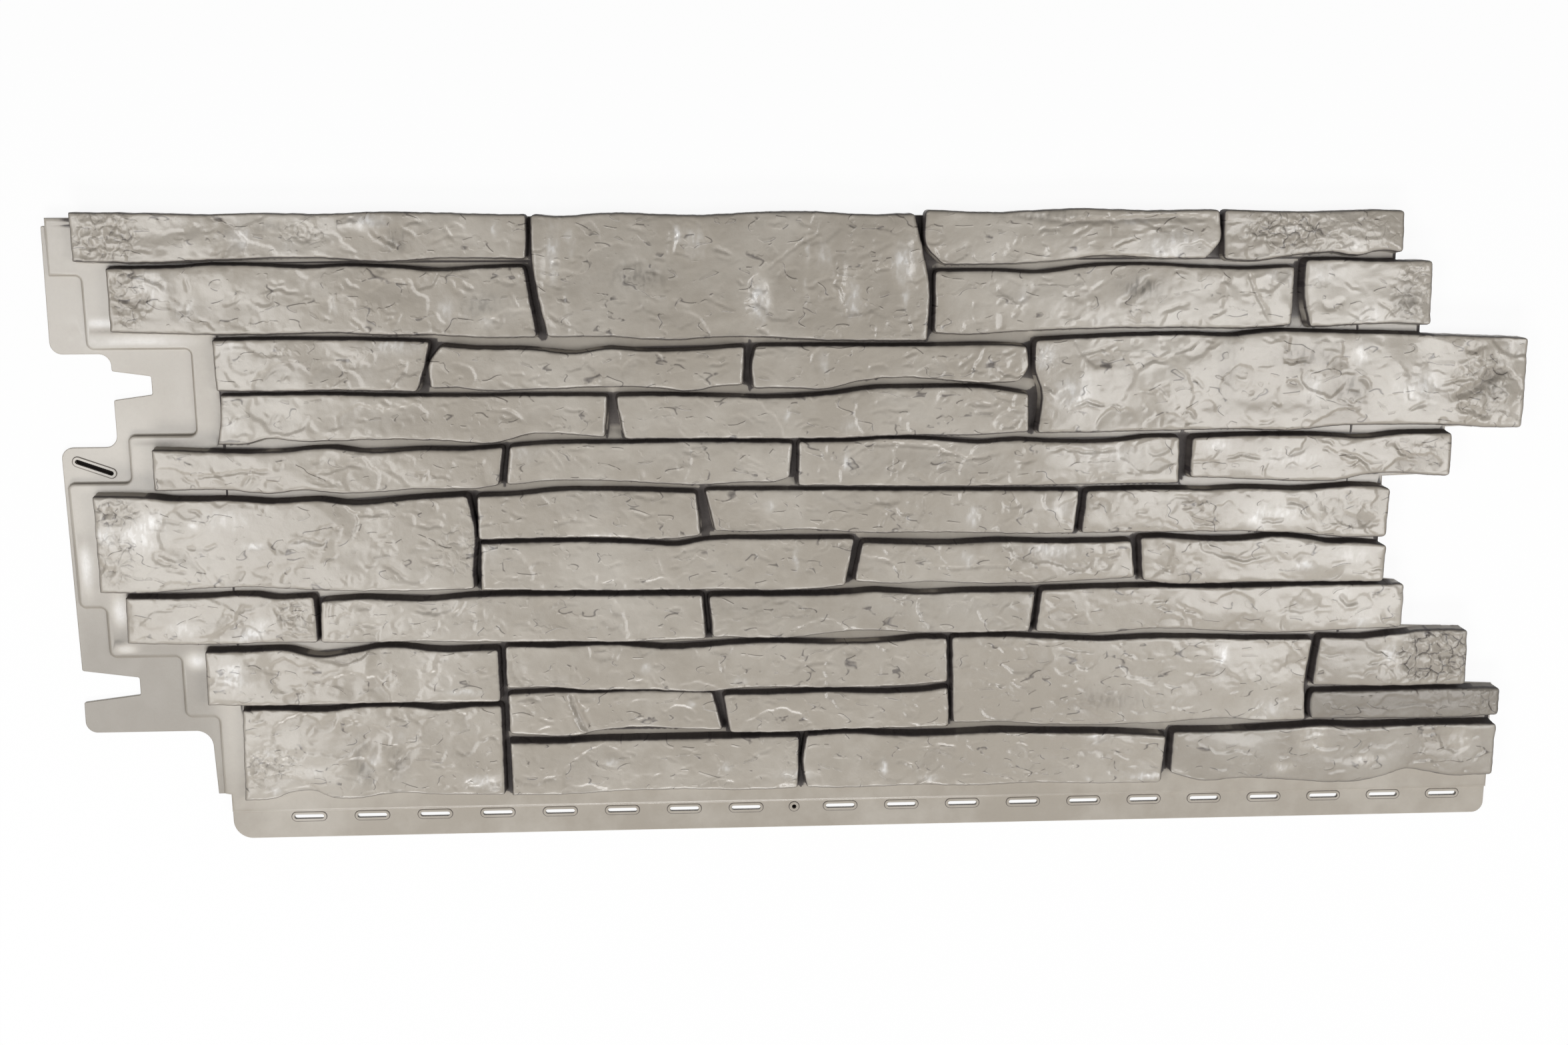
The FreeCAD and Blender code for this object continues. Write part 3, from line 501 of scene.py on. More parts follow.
class SlateRelief:
    """The cleft, knapped face of the stones, as a height in millimetres over the drawing plane.

    The methods take x, the places along the panel, and y, those across it, in drawing millimetres.
    """

    cleft_weight: float = 0.26
    knapped_weight: float = 0.32
    flake_weight: float = 0.9
    rough_weight: float = 0.62
    crack_room: float = 12.0

    def __init__(self, seed: int = 41) -> None:
        """Draws the noise fields.

        Args:
            seed: the number that fixes the whole relief.
        """
        self.broad = GradientNoise(seed)
        self.warp = GradientNoise(seed + 1)
        self.layer = GradientNoise(seed + 2)
        self.mask = GradientNoise(seed + 3)
        self.fine = GradientNoise(seed + 4)
        self.cells = CellNoise(seed + 5)
        self.crest = GradientNoise(seed + 6)
        self.flakes = [FlakeField(layer) for layer in FLAKES]

    def broad_form(self, x: Array, y: Array) -> Array:
        """Slow waves, longer along the panel than across it, and the listed ovals."""
        height = 0.85 * self.broad.layered(x / 70.0, y / 42.0, 2)
        for oval in SWELLS:
            height = height + oval.rise * oval.share(x, y, oval.turn)
        return height

    def warped(self, x: Array, y: Array, reach: float, size: float) -> tuple[Array, Array]:
        """The plane pushed about by noise, so that what is drawn on it runs unevenly."""
        push_x = self.warp.layered(x / size, y / size, 2)
        push_y = self.warp.layered(x / size + 51.7, y / size + 23.9, 2)
        return x + reach * push_x, y + reach * push_y

    def cleft(self, x: Array, y: Array) -> Array:
        """Thin layers that break off at their edges: a warped noise in stairs, each stair steep at its edge."""
        bent_x, bent_y = self.warped(x, y, 9.0, 26.0)
        field_value = 3.1 * self.layer.layered(bent_x / 62.0, bent_y / 24.0, 3, 0.55)
        stair = np.floor(field_value)
        part = field_value - stair
        steps = stair + smooth_step(0.36, 0.64, part)
        share = smooth_step(-0.15, 0.45, self.mask.at(x / 44.0, y / 26.0))
        return 0.34 * (share * steps + (0.35 - 0.35 * share) * field_value) - 0.1

    def knapped(self, x: Array, y: Array) -> Array:
        """Shallow scoops that meet in low crests: the squared distance to warped cell centres."""
        bent_x, bent_y = self.warped(x + 200.0, y, 6.0, 18.0)
        nearest, second = self.cells.at(bent_x / 25.0, bent_y / 14.0)
        share = smooth_step(-0.25, 0.4, self.mask.at(x / 60.0 + 40.0, y / 34.0))
        crest = nearest**2 - 0.35 * np.exp(-((second - nearest) / 0.12) ** 2)
        return 0.62 * share * (crest - 0.3)

    def rough_share(self, x: Array, y: Array) -> Array:
        """How much each place lies in a rough oval, from 0 to 1."""
        share = np.zeros_like(x)
        for patch in ROUGH:
            here = smooth_step(0.10, 0.5, patch.share(x, y))
            share = np.maximum(share, self.rough_weight * patch.strength * here)
        return np.clip(share, 0.0, 1.0)

    def sheen(self, x: Array, y: Array) -> Array:
        """How much lighter or darker each place is painted: painted highlights, and painted shade where a
        strength is negative, as bells over the listed ovals, broken into upright streaks by a drawn-out noise."""
        bent_x, bent_y = self.warped(x, y, 1.6, 8.0)
        streaks = smooth_step(-0.15, 0.45, self.fine.layered(bent_x / 3.4 + 70.0, bent_y / 9.0, 2))
        light = np.zeros_like(x)
        for spot in PAINTED_LIGHTS:
            light = light + spot.strength * spot.share(bent_x, bent_y, spot.turn)
        return np.clip(light, -0.6, 1.1) * (0.40 + 0.60 * streaks)

    def crumpled(self, x: Array, y: Array) -> Array:
        """Hollows that meet in sharp crests, only inside the rough ovals: one less the size of a warped noise,
        in two sizes, so that a crest runs wherever a noise passes through nothing."""
        height = np.zeros_like(x)
        bent_x, bent_y = self.warped(x, y, 3.2, 9.0)
        for patch in ROUGH:
            share = patch.share(x, y)
            where = share > 0.08
            if not where.any():
                continue
            inner_x, inner_y = bent_x[where] / patch.cell, bent_y[where] / patch.cell
            large = 1.0 - 3.0 * np.abs(self.crest.at(0.62 * inner_x, 0.8 * inner_y))
            small = 1.0 - 3.0 * np.abs(self.crest.at(1.5 * inner_x + 31.0, 1.8 * inner_y))
            strength = smooth_step(0.12, 0.55, share[where]) * patch.strength
            height[where] += strength * (0.55 * large + 0.20 * small * np.clip(large, 0.2, 1.0) - 0.4)
        return height

    def cracks(self, x: Array, y: Array, marks: Sequence[Crack]) -> Array:
        """Each mark is a groove with a bell profile, a lip beside it and a step across it, and it thins out
        at both ends."""
        height = np.zeros_like(x)
        bent_x, bent_y = self.warped(x, y, 0.9, 6.0)
        for mark in marks:
            line = np.array(mark.points, float)
            low, high = line.min(0) - self.crack_room, line.max(0) + self.crack_room
            where = (x > low[0]) & (x < high[0]) & (y > low[1]) & (y < high[1])
            if not where.any():
                continue
            ways, side, along = nearest_on_line(line, np.stack([bent_x[where], bent_y[where]], -1))
            away = np.hypot(*ways.T)
            signed = side * away
            run = run_length(line)
            end_room = np.minimum(along, run - along)
            at_end = np.maximum(end_room, 0.0) < 0.01
            fade = smooth_step(-0.5, 0.22 * run, end_room) * np.exp(-(at_end * away / 4.0))
            groove = -mark.depth * np.exp(-((signed / mark.width) ** 2))
            lip = mark.lip * np.exp(-(((signed + 2.0 * mark.width) / (1.5 * mark.width)) ** 2))
            ledge = 0.5 * mark.step * np.tanh(signed / mark.width) * np.exp(-((signed / 11.0) ** 2))
            height[where] += fade * (groove + lip + ledge)
        return height

    def flaked(self, x: Array, y: Array) -> Array:
        """The flakes of all sizes, with their outlines pushed about a little."""
        bent_x, bent_y = self.warped(x, y, 2.6, 13.0)
        height = np.zeros_like(x)
        for number, flakes in enumerate(self.flakes):
            mask = self.mask.at(x / 52.0 + 11.0 * number, y / 30.0)
            height = height + (smooth_step(-0.5, 0.25, mask) if number else 1.0) * flakes.at(bent_x, bent_y)
        return height

    def fine_form(self, x: Array, y: Array, marks: Sequence[Crack]) -> Array:
        """Everything finer than the broad form, with the clefts that are given, summed."""
        small = 0.05 * self.fine.layered(x / 9.0, y / 6.5, 2)
        total = self.cleft_weight * self.cleft(x, y) + self.knapped_weight * self.knapped(x, y) + small
        total = total + self.flake_weight * self.flaked(x, y) + 0.25
        return total + self.crumpled(x, y) + self.cracks(x, y, marks)


def run_length(points: Array) -> float:
    """The length of the line through the points."""
    return float(np.hypot(*np.diff(points, axis=0).T).sum())


def nearest_on_line(line: Array, places: Array) -> tuple[Array, Array, Array]:
    """Finds the nearest point of a line to each place.

    Args:
        line: the line's points, n by 2.
        places: the places, m by 2.

    Returns:
        The way from the nearest point to the place, 1 or -1 for the side of the line that the place is on,
        and how far along the line the nearest point lies.
    """
    best = np.full(len(places), np.inf)
    ways = np.zeros_like(places)
    side = np.zeros(len(places))
    along = np.zeros(len(places))
    run = 0.0
    for start, finish in zip(line[:-1], line[1:]):
        way = finish - start
        reach = float(np.hypot(*way))
        part = np.clip((places - start) @ way / max(reach**2, 1e-9), 0.0, 1.0)
        away = places - start - part[:, None] * way
        distance = np.hypot(away[:, 0], away[:, 1])
        nearer = distance < best
        best[nearer] = distance[nearer]
        ways[nearer] = away[nearer]
        side[nearer] = np.sign(way[0] * away[nearer, 1] - way[1] * away[nearer, 0])
        along[nearer] = run + part[nearer] * reach
        run += reach
    return ways, side, along


def smooth_curve(points: Array, places: Array) -> Array:
    """A cubic through the points, with each point's direction taken from its two neighbours.

    Args:
        points: the points, n by 2.
        places: where to read the curve, from 0 to 1 of its length.

    Returns:
        The curve's points.
    """
    gaps = np.hypot(*np.diff(points, axis=0).T)
    knots = np.concatenate([[0.0], np.cumsum(gaps)])
    knots = knots / knots[-1]
    slopes = np.repeat(np.diff(points, axis=0), 2, axis=0)
    if len(points) > 2:
        slopes = np.gradient(points, knots, axis=0)
    index = np.clip(np.searchsorted(knots, places, side="right") - 1, 0, len(points) - 2)
    span = knots[index + 1] - knots[index]
    part = (places - knots[index]) / span
    one = part[:, None]
    width = span[:, None]
    start = points[index] * (2 * one**3 - 3 * one**2 + 1)
    finish = points[index + 1] * (3 * one**2 - 2 * one**3)
    leave = slopes[index] * width * (one**3 - 2 * one**2 + one)
    arrive = slopes[index + 1] * width * (one**3 - one**2)
    return start + finish + leave + arrive


@dataclass
class MeshParts:
    """Vertices and faces that are gathered before they go into one mesh."""

    places: list[Array] = field(default_factory=list)
    quads: list[Array] = field(default_factory=list)
    triangles: list[Array] = field(default_factory=list)
    looks: Outlines = field(default_factory=lambda: {"hollow": [], "tone": [], "cleft": []})
    count: int = 0

    def add(self, places: Array, quads: Sequence[Array], triangles: Sequence[Array],
            hollow: Array, tone: float | Array = 0.0, cleft: float | Array = 0.0) -> None:
        """Adds a closed shell, with its faces numbered from its own first vertex.

        Args:
            places: its vertices, n by 3, in drawing millimetres.
            quads: its four-sided faces.
            triangles: its three-sided faces.
            hollow: how much painted shade each vertex gets, from 0 to 1.
            tone: how much lighter than the rest the shell or each vertex is, as a share, with painted
                highlights and painted shade in it.
            cleft: 0 where the shell is smooth, 1 where it has a stone's grain and 2 where that is crackled.
        """
        self.places.append(places)
        self.quads.extend(quad + self.count for quad in quads)
        self.triangles.extend(triangle + self.count for triangle in triangles)
        self.looks["hollow"].append(hollow)
        self.looks["tone"].append(np.broadcast_to(tone, len(places)))
        self.looks["cleft"].append(np.broadcast_to(cleft, len(places)))
        self.count += len(places)

    def finish(self, name: str, sharp: float) -> bpy.types.Object:
        """Makes the object, in metres in the shared frame.

        Args:
            name: the object's name.
            sharp: the angle in degrees past which an edge is shown sharp.

        Returns:
            The object, linked to the scene.
        """
        places = np.concatenate(self.places)
        places[:, :2] += DRAWING_SHIFT
        quads = np.concatenate(self.quads)
        triangles = np.concatenate(self.triangles)
        mesh = bpy.data.meshes.new(name)
        mesh.vertices.add(len(places))
        mesh.vertices.foreach_set("co", (places * MM).astype(np.float32).ravel())
        corners = np.concatenate([quads.ravel(), triangles.ravel()]).astype(np.int32)
        mesh.loops.add(len(corners))
        mesh.loops.foreach_set("vertex_index", corners)
        starts = [np.arange(len(quads)) * 4, 4 * len(quads) + np.arange(len(triangles)) * 3]
        mesh.polygons.add(len(quads) + len(triangles))
        mesh.polygons.foreach_set("loop_start", np.concatenate(starts).astype(np.int32))
        mesh.update(calc_edges=True)
        mesh.validate()
        for look, values in self.looks.items():
            layer = mesh.attributes.new(look, "FLOAT", "POINT")
            layer.data.foreach_set("value", np.concatenate(values).astype(np.float32))
        mesh.polygons.foreach_set("use_smooth", np.ones(len(mesh.polygons), bool))
        mesh.set_sharp_from_angle(angle=math.radians(sharp))
        piece = bpy.data.objects.new(name, mesh)
        bpy.context.scene.collection.objects.link(piece)
        log.info("%s: %d triangles", name, 2 * len(quads) + len(triangles))
        return piece


@dataclass
class Stone:
    """One stone of the relief: a hollow, cleft block between a lower and an upper edge.

    The lists run from left to right. The first `left` points of the lower list and the last `right` points
    stand on the stone's two ends.
    """

    name: str
    rise: Rise
    upper: Points
    lower: Points
    left: int = 0
    right: int = 0
    pitch: float = 1.25
    corner: float = 3.6
    end_corner: float = 1.2
    arris: float = 1.7
    draft: float = 6.0
    ragged: float = 0.3
    foot_flare: float = 0.5
    mark_area: float = 620.0
    edge_seeds: int = 9973
    wear_seeds: int = 7919
    edge_lines: tuple[float, ...] = (0.0, 0.22, 0.75, 1.6)
    wall_shares: tuple[float, ...] = (0.3, 0.65, 1.0)
    # Painted shade along the face's border: the dark line on the arris and its share on the next rows
    arris_shade: float = 0.8
    row_shades: tuple[float, ...] = (0.85, 0.5)
    # Painted shade on the grid lines nearest the border, which darkens the lit arris
    arris_painted_shade: tuple[float, ...] = (-0.34, -0.34, -0.32, -0.10)
    decimation: int = 4

    def seed(self) -> int:
        """A number of the stone's own, worked out from its name."""
        return sum(ord(letter) * 31**place for place, letter in enumerate(self.name))

    def outline(self) -> Array:
        """The outline, clockwise from the upper left corner."""
        return np.array(list(self.upper) + list(self.lower)[::-1], float)

    def size(self) -> tuple[float, float]:
        """The stone's mean length and height, in millimetres."""
        sides = self.sides()
        return (0.5 * (run_length(sides["bottom"]) + run_length(sides["top"])),
                0.5 * (run_length(sides["left"]) + run_length(sides["right"])))

    def sides(self) -> dict[str, Array]:
        """The points of the four sides: bottom and top from the left, left and right from the bottom."""
        lower = np.array(self.lower, float)
        upper = np.array(self.upper, float)
        last = len(lower) - self.right
        return {
            "bottom": lower[self.left:last],
            "top": upper,
            "left": np.concatenate([lower[: self.left + 1][::-1], upper[:1]]),
            "right": np.concatenate([lower[last - 1:], upper[-1:]]),
        }

    def lines(self, length: float) -> Array:
        """Grid lines over a length, close together at both ends, in a number that the back's grid divides.

        Args:
            length: the length in millimetres.

        Returns:
            The lines' places, from 0 to the length.
        """
        edge = np.array(self.edge_lines)
        inner = length - 2.0 * edge[-1]
        count = max(4, round(inner / self.pitch))
        extra = 2 * (len(edge) - 1)
        count += -(count + extra) % self.decimation
        middle = edge[-1] + np.linspace(0.0, inner, count + 1)
        return np.concatenate([edge[:-1], middle, length - edge[:-1][::-1]])

    def plan(self, across: Array, up: Array, inset: float, ragged: float) -> tuple[Array, Array]:
        """The patch between the four sides: the two ruled surfaces less the flat one through the corners, with
        the corners drawn in to quarter rounds.

        Args:
            across: the lines' places along the stone, in millimetres.
            up: the lines' places across the stone.
            inset: how far the sides are moved in.
            ragged: how far the edges wander.

        Returns:
            The x and y of the grid.
        """
        length, height = self.size()
        grid_s, grid_t = np.meshgrid(across, up)
        near_s = np.minimum(grid_s, length - grid_s)
        near_t = np.minimum(grid_t, height - grid_t)
        free_end = (grid_s < 0.5 * length) if self.name[1] == "1" else np.zeros(grid_s.shape, bool)
        corner = np.where(free_end, self.end_corner, self.corner)
        part_s = np.clip((corner - near_s) / corner, 0.0, 1.0)
        part_t = np.clip((corner - near_t) / corner, 0.0, 1.0)
        round_s = part_s * np.sqrt(1.0 - 0.5 * part_t**2)
        round_t = part_t * np.sqrt(1.0 - 0.5 * part_s**2)
        move_s = np.where(part_s > 0.0, corner * (part_s - round_s), 0.0)
        move_t = np.where(part_t > 0.0, corner * (part_t - round_t), 0.0)
        grid_s = grid_s + np.where(grid_s < 0.5 * length, move_s, -move_s)
        grid_t = grid_t + np.where(grid_t < 0.5 * height, move_t, -move_t)
        u = (inset + grid_s * (length - 2.0 * inset) / length) / length
        v = (inset + grid_t * (height - 2.0 * inset) / height) / height
        sides = self.sides()
        noise = GradientNoise(self.seed() % self.edge_seeds)

        def side(points: Array, places: Array, row: float) -> Array:
            """One side's curve, with small waves that die out at its ends."""
            curve = smooth_curve(points, places.ravel())
            reach = np.hypot(*(points[-1] - points[0]))
            wave = noise.layered(places.ravel() * reach / 11.0, np.full(places.size, row), 3, 0.6)
            ends = smooth_step(0.0, 6.0, np.minimum(places, 1.0 - places).ravel() * reach)
            way = (points[-1] - points[0]) / reach
            normal = np.array([-way[1], way[0]])
            return (curve + (ragged * wave * ends)[:, None] * normal).reshape(*places.shape, 2)

        bottom = side(sides["bottom"], u, 0.37)
        top = side(sides["top"], u, 7.61)
        left = side(sides["left"], v, 13.43)
        right = side(sides["right"], v, 21.87)
        corners = [sides["bottom"][0], sides["bottom"][-1], sides["top"][0], sides["top"][-1]]
        one_u = u[..., None]
        one_v = v[..., None]
        ruled = (1 - one_v) * bottom + one_v * top + (1 - one_u) * left + one_u * right
        flat = (1 - one_v) * ((1 - one_u) * corners[0] + one_u * corners[1])
        flat = flat + one_v * ((1 - one_u) * corners[2] + one_u * corners[3])
        place = ruled - flat
        return place[..., 0], place[..., 1]

    @staticmethod
    def ring(rows: int, columns: int) -> Array:
        """The grid's border as vertex numbers, anticlockwise from the lower left corner."""
        bottom = np.arange(columns - 1)
        right = np.arange(rows - 1) * columns + columns - 1
        top = rows * columns - 1 - np.arange(columns - 1)
        left = (rows - 1 - np.arange(rows - 1)) * columns
        return np.concatenate([bottom, right, top, left])

    @staticmethod
    def grid_quads(rows: int, columns: int) -> Array:
        """The faces of a grid, seen from above anticlockwise."""
        first = (np.arange(rows - 1)[:, None] * columns + np.arange(columns - 1)[None, :]).ravel()
        return np.stack([first, first + 1, first + columns + 1, first + columns], -1)

    def marks(self) -> list[Crack]:
        """Short strokes spread over the stone, most of them along it."""
        source = np.random.default_rng(self.seed())
        length, height = self.size()
        outline = self.outline()
        low, high = outline.min(0) + 4.0, outline.max(0) - 4.0
        strokes = []
        for _ in range(round(length * height / self.mark_area)):
            centre = source.uniform(low, high)
            angle = source.normal(0.0, 0.45) + (source.random() < 0.18) * source.uniform(-1.2, 1.2)
            reach = source.uniform(2.5, 9.0) * (1.0 + (source.random() < 0.15))
            bend = source.uniform(-0.35, 0.35) * reach
            way = np.array([math.cos(angle), math.sin(angle)])
            beside = np.array([-way[1], way[0]])
            points = [tuple(centre - reach * way), tuple(centre + bend * beside), tuple(centre + reach * way)]
            strokes.append(Crack(points, source.uniform(0.7, 1.2), source.uniform(0.25, 0.75),
                                 source.uniform(0.05, 0.4), source.uniform(-0.2, 0.4)))
        return strokes

    def build(self, relief: SlateRelief, parts: MeshParts, deck: "DeckPlan") -> None:
        """Makes the stone's face, its walls and its hollow, as one closed shell.

        The face is the plan patch lifted to the rise plus the relief, less a quarter round along the border.
        The walls run down from the border and out by the draft. The hollow is the same form one wall inside.

        Args:
            relief: the height of the stone faces.
            parts: where the shell is added.
            deck: the deck, which says where a wall runs past its edge.
        """
        length, height = self.size()
        across, up = self.lines(length), self.lines(height)
        x, y = self.plan(across, up, 0.0, self.ragged)
        grid_s, grid_t = np.meshgrid(across, up)
        border = np.minimum(np.minimum(grid_s, length - grid_s), np.minimum(grid_t, height - grid_t))
        noise = GradientNoise(self.seed() % self.wear_seeds)
        fine = relief.fine_form(x, y, list(CRACKS) + self.marks())
        level = DECK_TOP + self.rise.value - 0.25
        z = self.face(noise, (x, y), border, level, (relief.broad_form(x, y), fine))
        top = np.stack([x, y, z], -1).reshape(-1, 3)
        rim = top[self.ring(*x.shape)]
        outward = self.outward(rim[:, :2])
        outside = deck.past_edge(rim[:, :2])
        base = np.where(outside, LAP_LEVEL, DECK_TOP - 0.5)
        walls = self.walls(noise, rim, base, outside, outward)
        roof_x, roof_y = self.plan(across[:: self.decimation], up[:: self.decimation], WALL, 0.0)
        ceiling = level - WALL - 0.7 + 0.8 * relief.broad_form(roof_x, roof_y)
        ceiling = np.minimum(ceiling, DECK_TOP + self.rise.value - WALL + 0.4)
        roof = np.stack([roof_x, roof_y, ceiling], -1).reshape(-1, 3)
        inner = roof[self.ring(*roof_x.shape)].copy()
        inner[:, 2] = base[:: self.decimation]
        vertices = np.concatenate([top] + walls + [inner, roof])
        quads, triangles = self.shell(x.shape, roof_x.shape)
        near, _ = deck.joint_share(rim[:, :2], self)
        depths = self.depths(near, outward, fine)
        hollow = np.concatenate(depths + [np.zeros(len(inner) + len(roof))])
        rest = np.zeros(len(vertices) - x.size)
        rows, columns = x.shape
        # Painted highlights and painted shade from the listed ovals, and painted shade along the border, are
        # added to the stone's tone
        skin = relief.sheen(x, y) + np.minimum.outer(self.painted_border_shade(rows), self.painted_border_shade(columns))
        tone = TONES.get(self.name, 0.0) + np.concatenate([skin.ravel(), rest])
        cleft = 1.0 + np.concatenate([relief.rough_share(x, y).ravel(), rest])
        parts.add(vertices, quads, triangles, hollow, tone, cleft)

    def face(self, noise: GradientNoise, plan: tuple[Array, Array], border: Array, level: float,
             forms: tuple[Array, Array]) -> Array:
        """The height of the stone's face: the relief, calmer near the border, less the worn arris.

        Args:
            noise: where the arris is worn more or less.
            plan: the x and y of the grid.
            border: the distance from the border.
            level: the height of the face without relief.
            forms: the broad and the fine form.

        Returns:
            The heights.
        """
        x, y = plan
        broad, fine = forms
        wear = 0.5 + 0.5 * noise.layered(x / 17.0, y / 17.0, 2)
        arris = self.arris * (0.75 + 0.7 * np.clip(wear, 0.0, 1.2))
        inside = np.clip(1.0 - border / arris, 0.0, 1.0)
        edge_drop = arris * (1.0 - np.sqrt(np.maximum(1.0 - inside**2, 0.0)))
        shoulder = 0.9 * np.clip(wear - 0.25, 0.0, 1.0) * np.exp(-((border / 4.5) ** 2))
        calm = smooth_step(0.0, 3.0, border)
        face = level + broad * (0.5 + 0.5 * calm) + fine * (0.35 + 0.65 * calm)
        face = np.minimum(face, HIGHEST - 0.35 * np.exp(-np.maximum(face - HIGHEST, 0.0))) - shoulder
        return face - edge_drop

    def walls(self, noise: GradientNoise, rim: Array, base: Array, outside: Array,
              outward: Array) -> list[Array]:
        """The rows of vertices down the walls, each further out by the draft, and flared at the foot.

        Args:
            noise: the ripple of the walls.
            rim: the border of the face.
            base: the height of the foot.
            outside: where the wall runs past the deck, and then hangs nearly upright.
            outward: the border's normals.

        Returns:
            The rows from the top down.
        """
        rows = []
        for share in self.wall_shares:
            fall = (rim[:, 2] - base) * share
            ripple = 0.18 * noise.layered(rim[:, 0] / 9.0 + 40.0 * share, rim[:, 1] / 9.0, 2) * (share < 1.0)
            shift = fall * math.tan(math.radians(self.draft)) + ripple
            shift = np.where(outside, 0.25 * shift, shift + self.foot_flare * (share == 1.0))
            rows.append(np.column_stack([rim[:, :2] + shift[:, None] * outward, rim[:, 2] - fall]))
        return rows

    def shell(self, grid: tuple[int, int], roof_grid: tuple[int, int]) -> tuple[list[Array], list[Array]]:
        """The faces of the stone's face, walls, foot and hollow.

        Args:
            grid: the rows and columns of the face.
            roof_grid: the rows and columns of the hollow's roof.

        Returns:
            The four-sided and the three-sided faces.
        """
        upper_ring, roof_ring = self.ring(*grid), self.ring(*roof_grid)
        count, few = len(upper_ring), len(roof_ring)
        quads = [self.grid_quads(*grid)]
        start = grid[0] * grid[1]
        for _ in self.wall_shares:
            lower_ring = start + np.arange(count)
            ahead = np.roll(lower_ring, -1), np.roll(upper_ring, -1)
            quads.append(np.stack([lower_ring, *ahead, upper_ring], -1))
            upper_ring = lower_ring
            start += count
        inner_ring = start + np.arange(few)
        inner_next = np.roll(inner_ring, -1)
        triangles = []
        for step in range(self.decimation):
            first = (np.arange(few) * self.decimation + step) % count
            second = (first + 1) % count
            seat = inner_ring if step < self.decimation // 2 else inner_next
            triangles.append(np.stack([upper_ring[second], upper_ring[first], seat], -1))
            if step == self.decimation // 2:
                triangles.append(np.stack([inner_ring, inner_next, upper_ring[first]], -1))
        roof_ring = start + few + roof_ring
        quads.append(np.stack([inner_next, inner_ring, roof_ring, np.roll(roof_ring, -1)], -1))
        quads.append(start + few + self.grid_quads(*roof_grid)[:, ::-1])
        return quads, triangles

    def depths(self, near: Array, outward: Array, fine: Array) -> list[Array]:
        """Painted shade on the vertices, with a painted dark line along the face's border.

        Args:
            near: how much each vertex of the border lies in a narrow joint.
            outward: the border's normals.
            fine: the fine form of the face.

        Returns:
            The values of the face and of the walls.
        """
        line = np.zeros(fine.shape)
        line.ravel()[self.ring(*fine.shape)] = np.maximum(near, self.arris_shade)
        inner_line = line.copy()
        for number, share in enumerate(self.row_shades, 1):
            for row, edge in ((inner_line[number], line[0]), (inner_line[-1 - number], line[-1]),
                              (inner_line[:, number], line[:, 0]), (inner_line[:, -1 - number], line[:, -1])):
                np.maximum(row, share * edge, out=row)
        # Painted shade in the low places of the relief, and a painted dark line along the border
        depth = np.maximum(0.42 * np.clip(-(fine - 0.1) / 1.5, 0.0, 1.0), inner_line)
        # Painted shade down the walls, darkest on walls that face the far edge, away from the key lamp
        facing_shade = 0.35 + 0.65 * smooth_step(-0.75, 0.1, outward[:, 1])
        return [depth.ravel(), np.tile(np.maximum(near, 0.45) * facing_shade, len(self.wall_shares))]

    def painted_border_shade(self, count: int) -> Array:
        """Painted shade on each of a number of grid lines for lying close to the border, which darkens the lit
        arris.
        """
        lines = np.zeros(count)
        lines[:len(self.arris_painted_shade)] = self.arris_painted_shade
        lines[-len(self.arris_painted_shade):] = self.arris_painted_shade[::-1]
        return lines

    @staticmethod
    def outward(ring: Array) -> Array:
        """Unit normals of an anticlockwise ring, smoothed over its neighbours."""
        way = np.roll(ring, -2, axis=0) - np.roll(ring, 2, axis=0)
        normal = np.stack([way[:, 1], -way[:, 0]], -1)
        return normal / np.maximum(np.hypot(normal[:, 0], normal[:, 1]), 1e-9)[:, None]


# How much lighter or darker than the rest each stone looks
TONES = {
    "A1": 0.03, "A2": -0.05, "A4": -0.05, "C1": 0.03, "E3": 0.02, "H3": -0.06, "I4": -0.12, "J4": -0.36,
    "K3": -0.14,
}

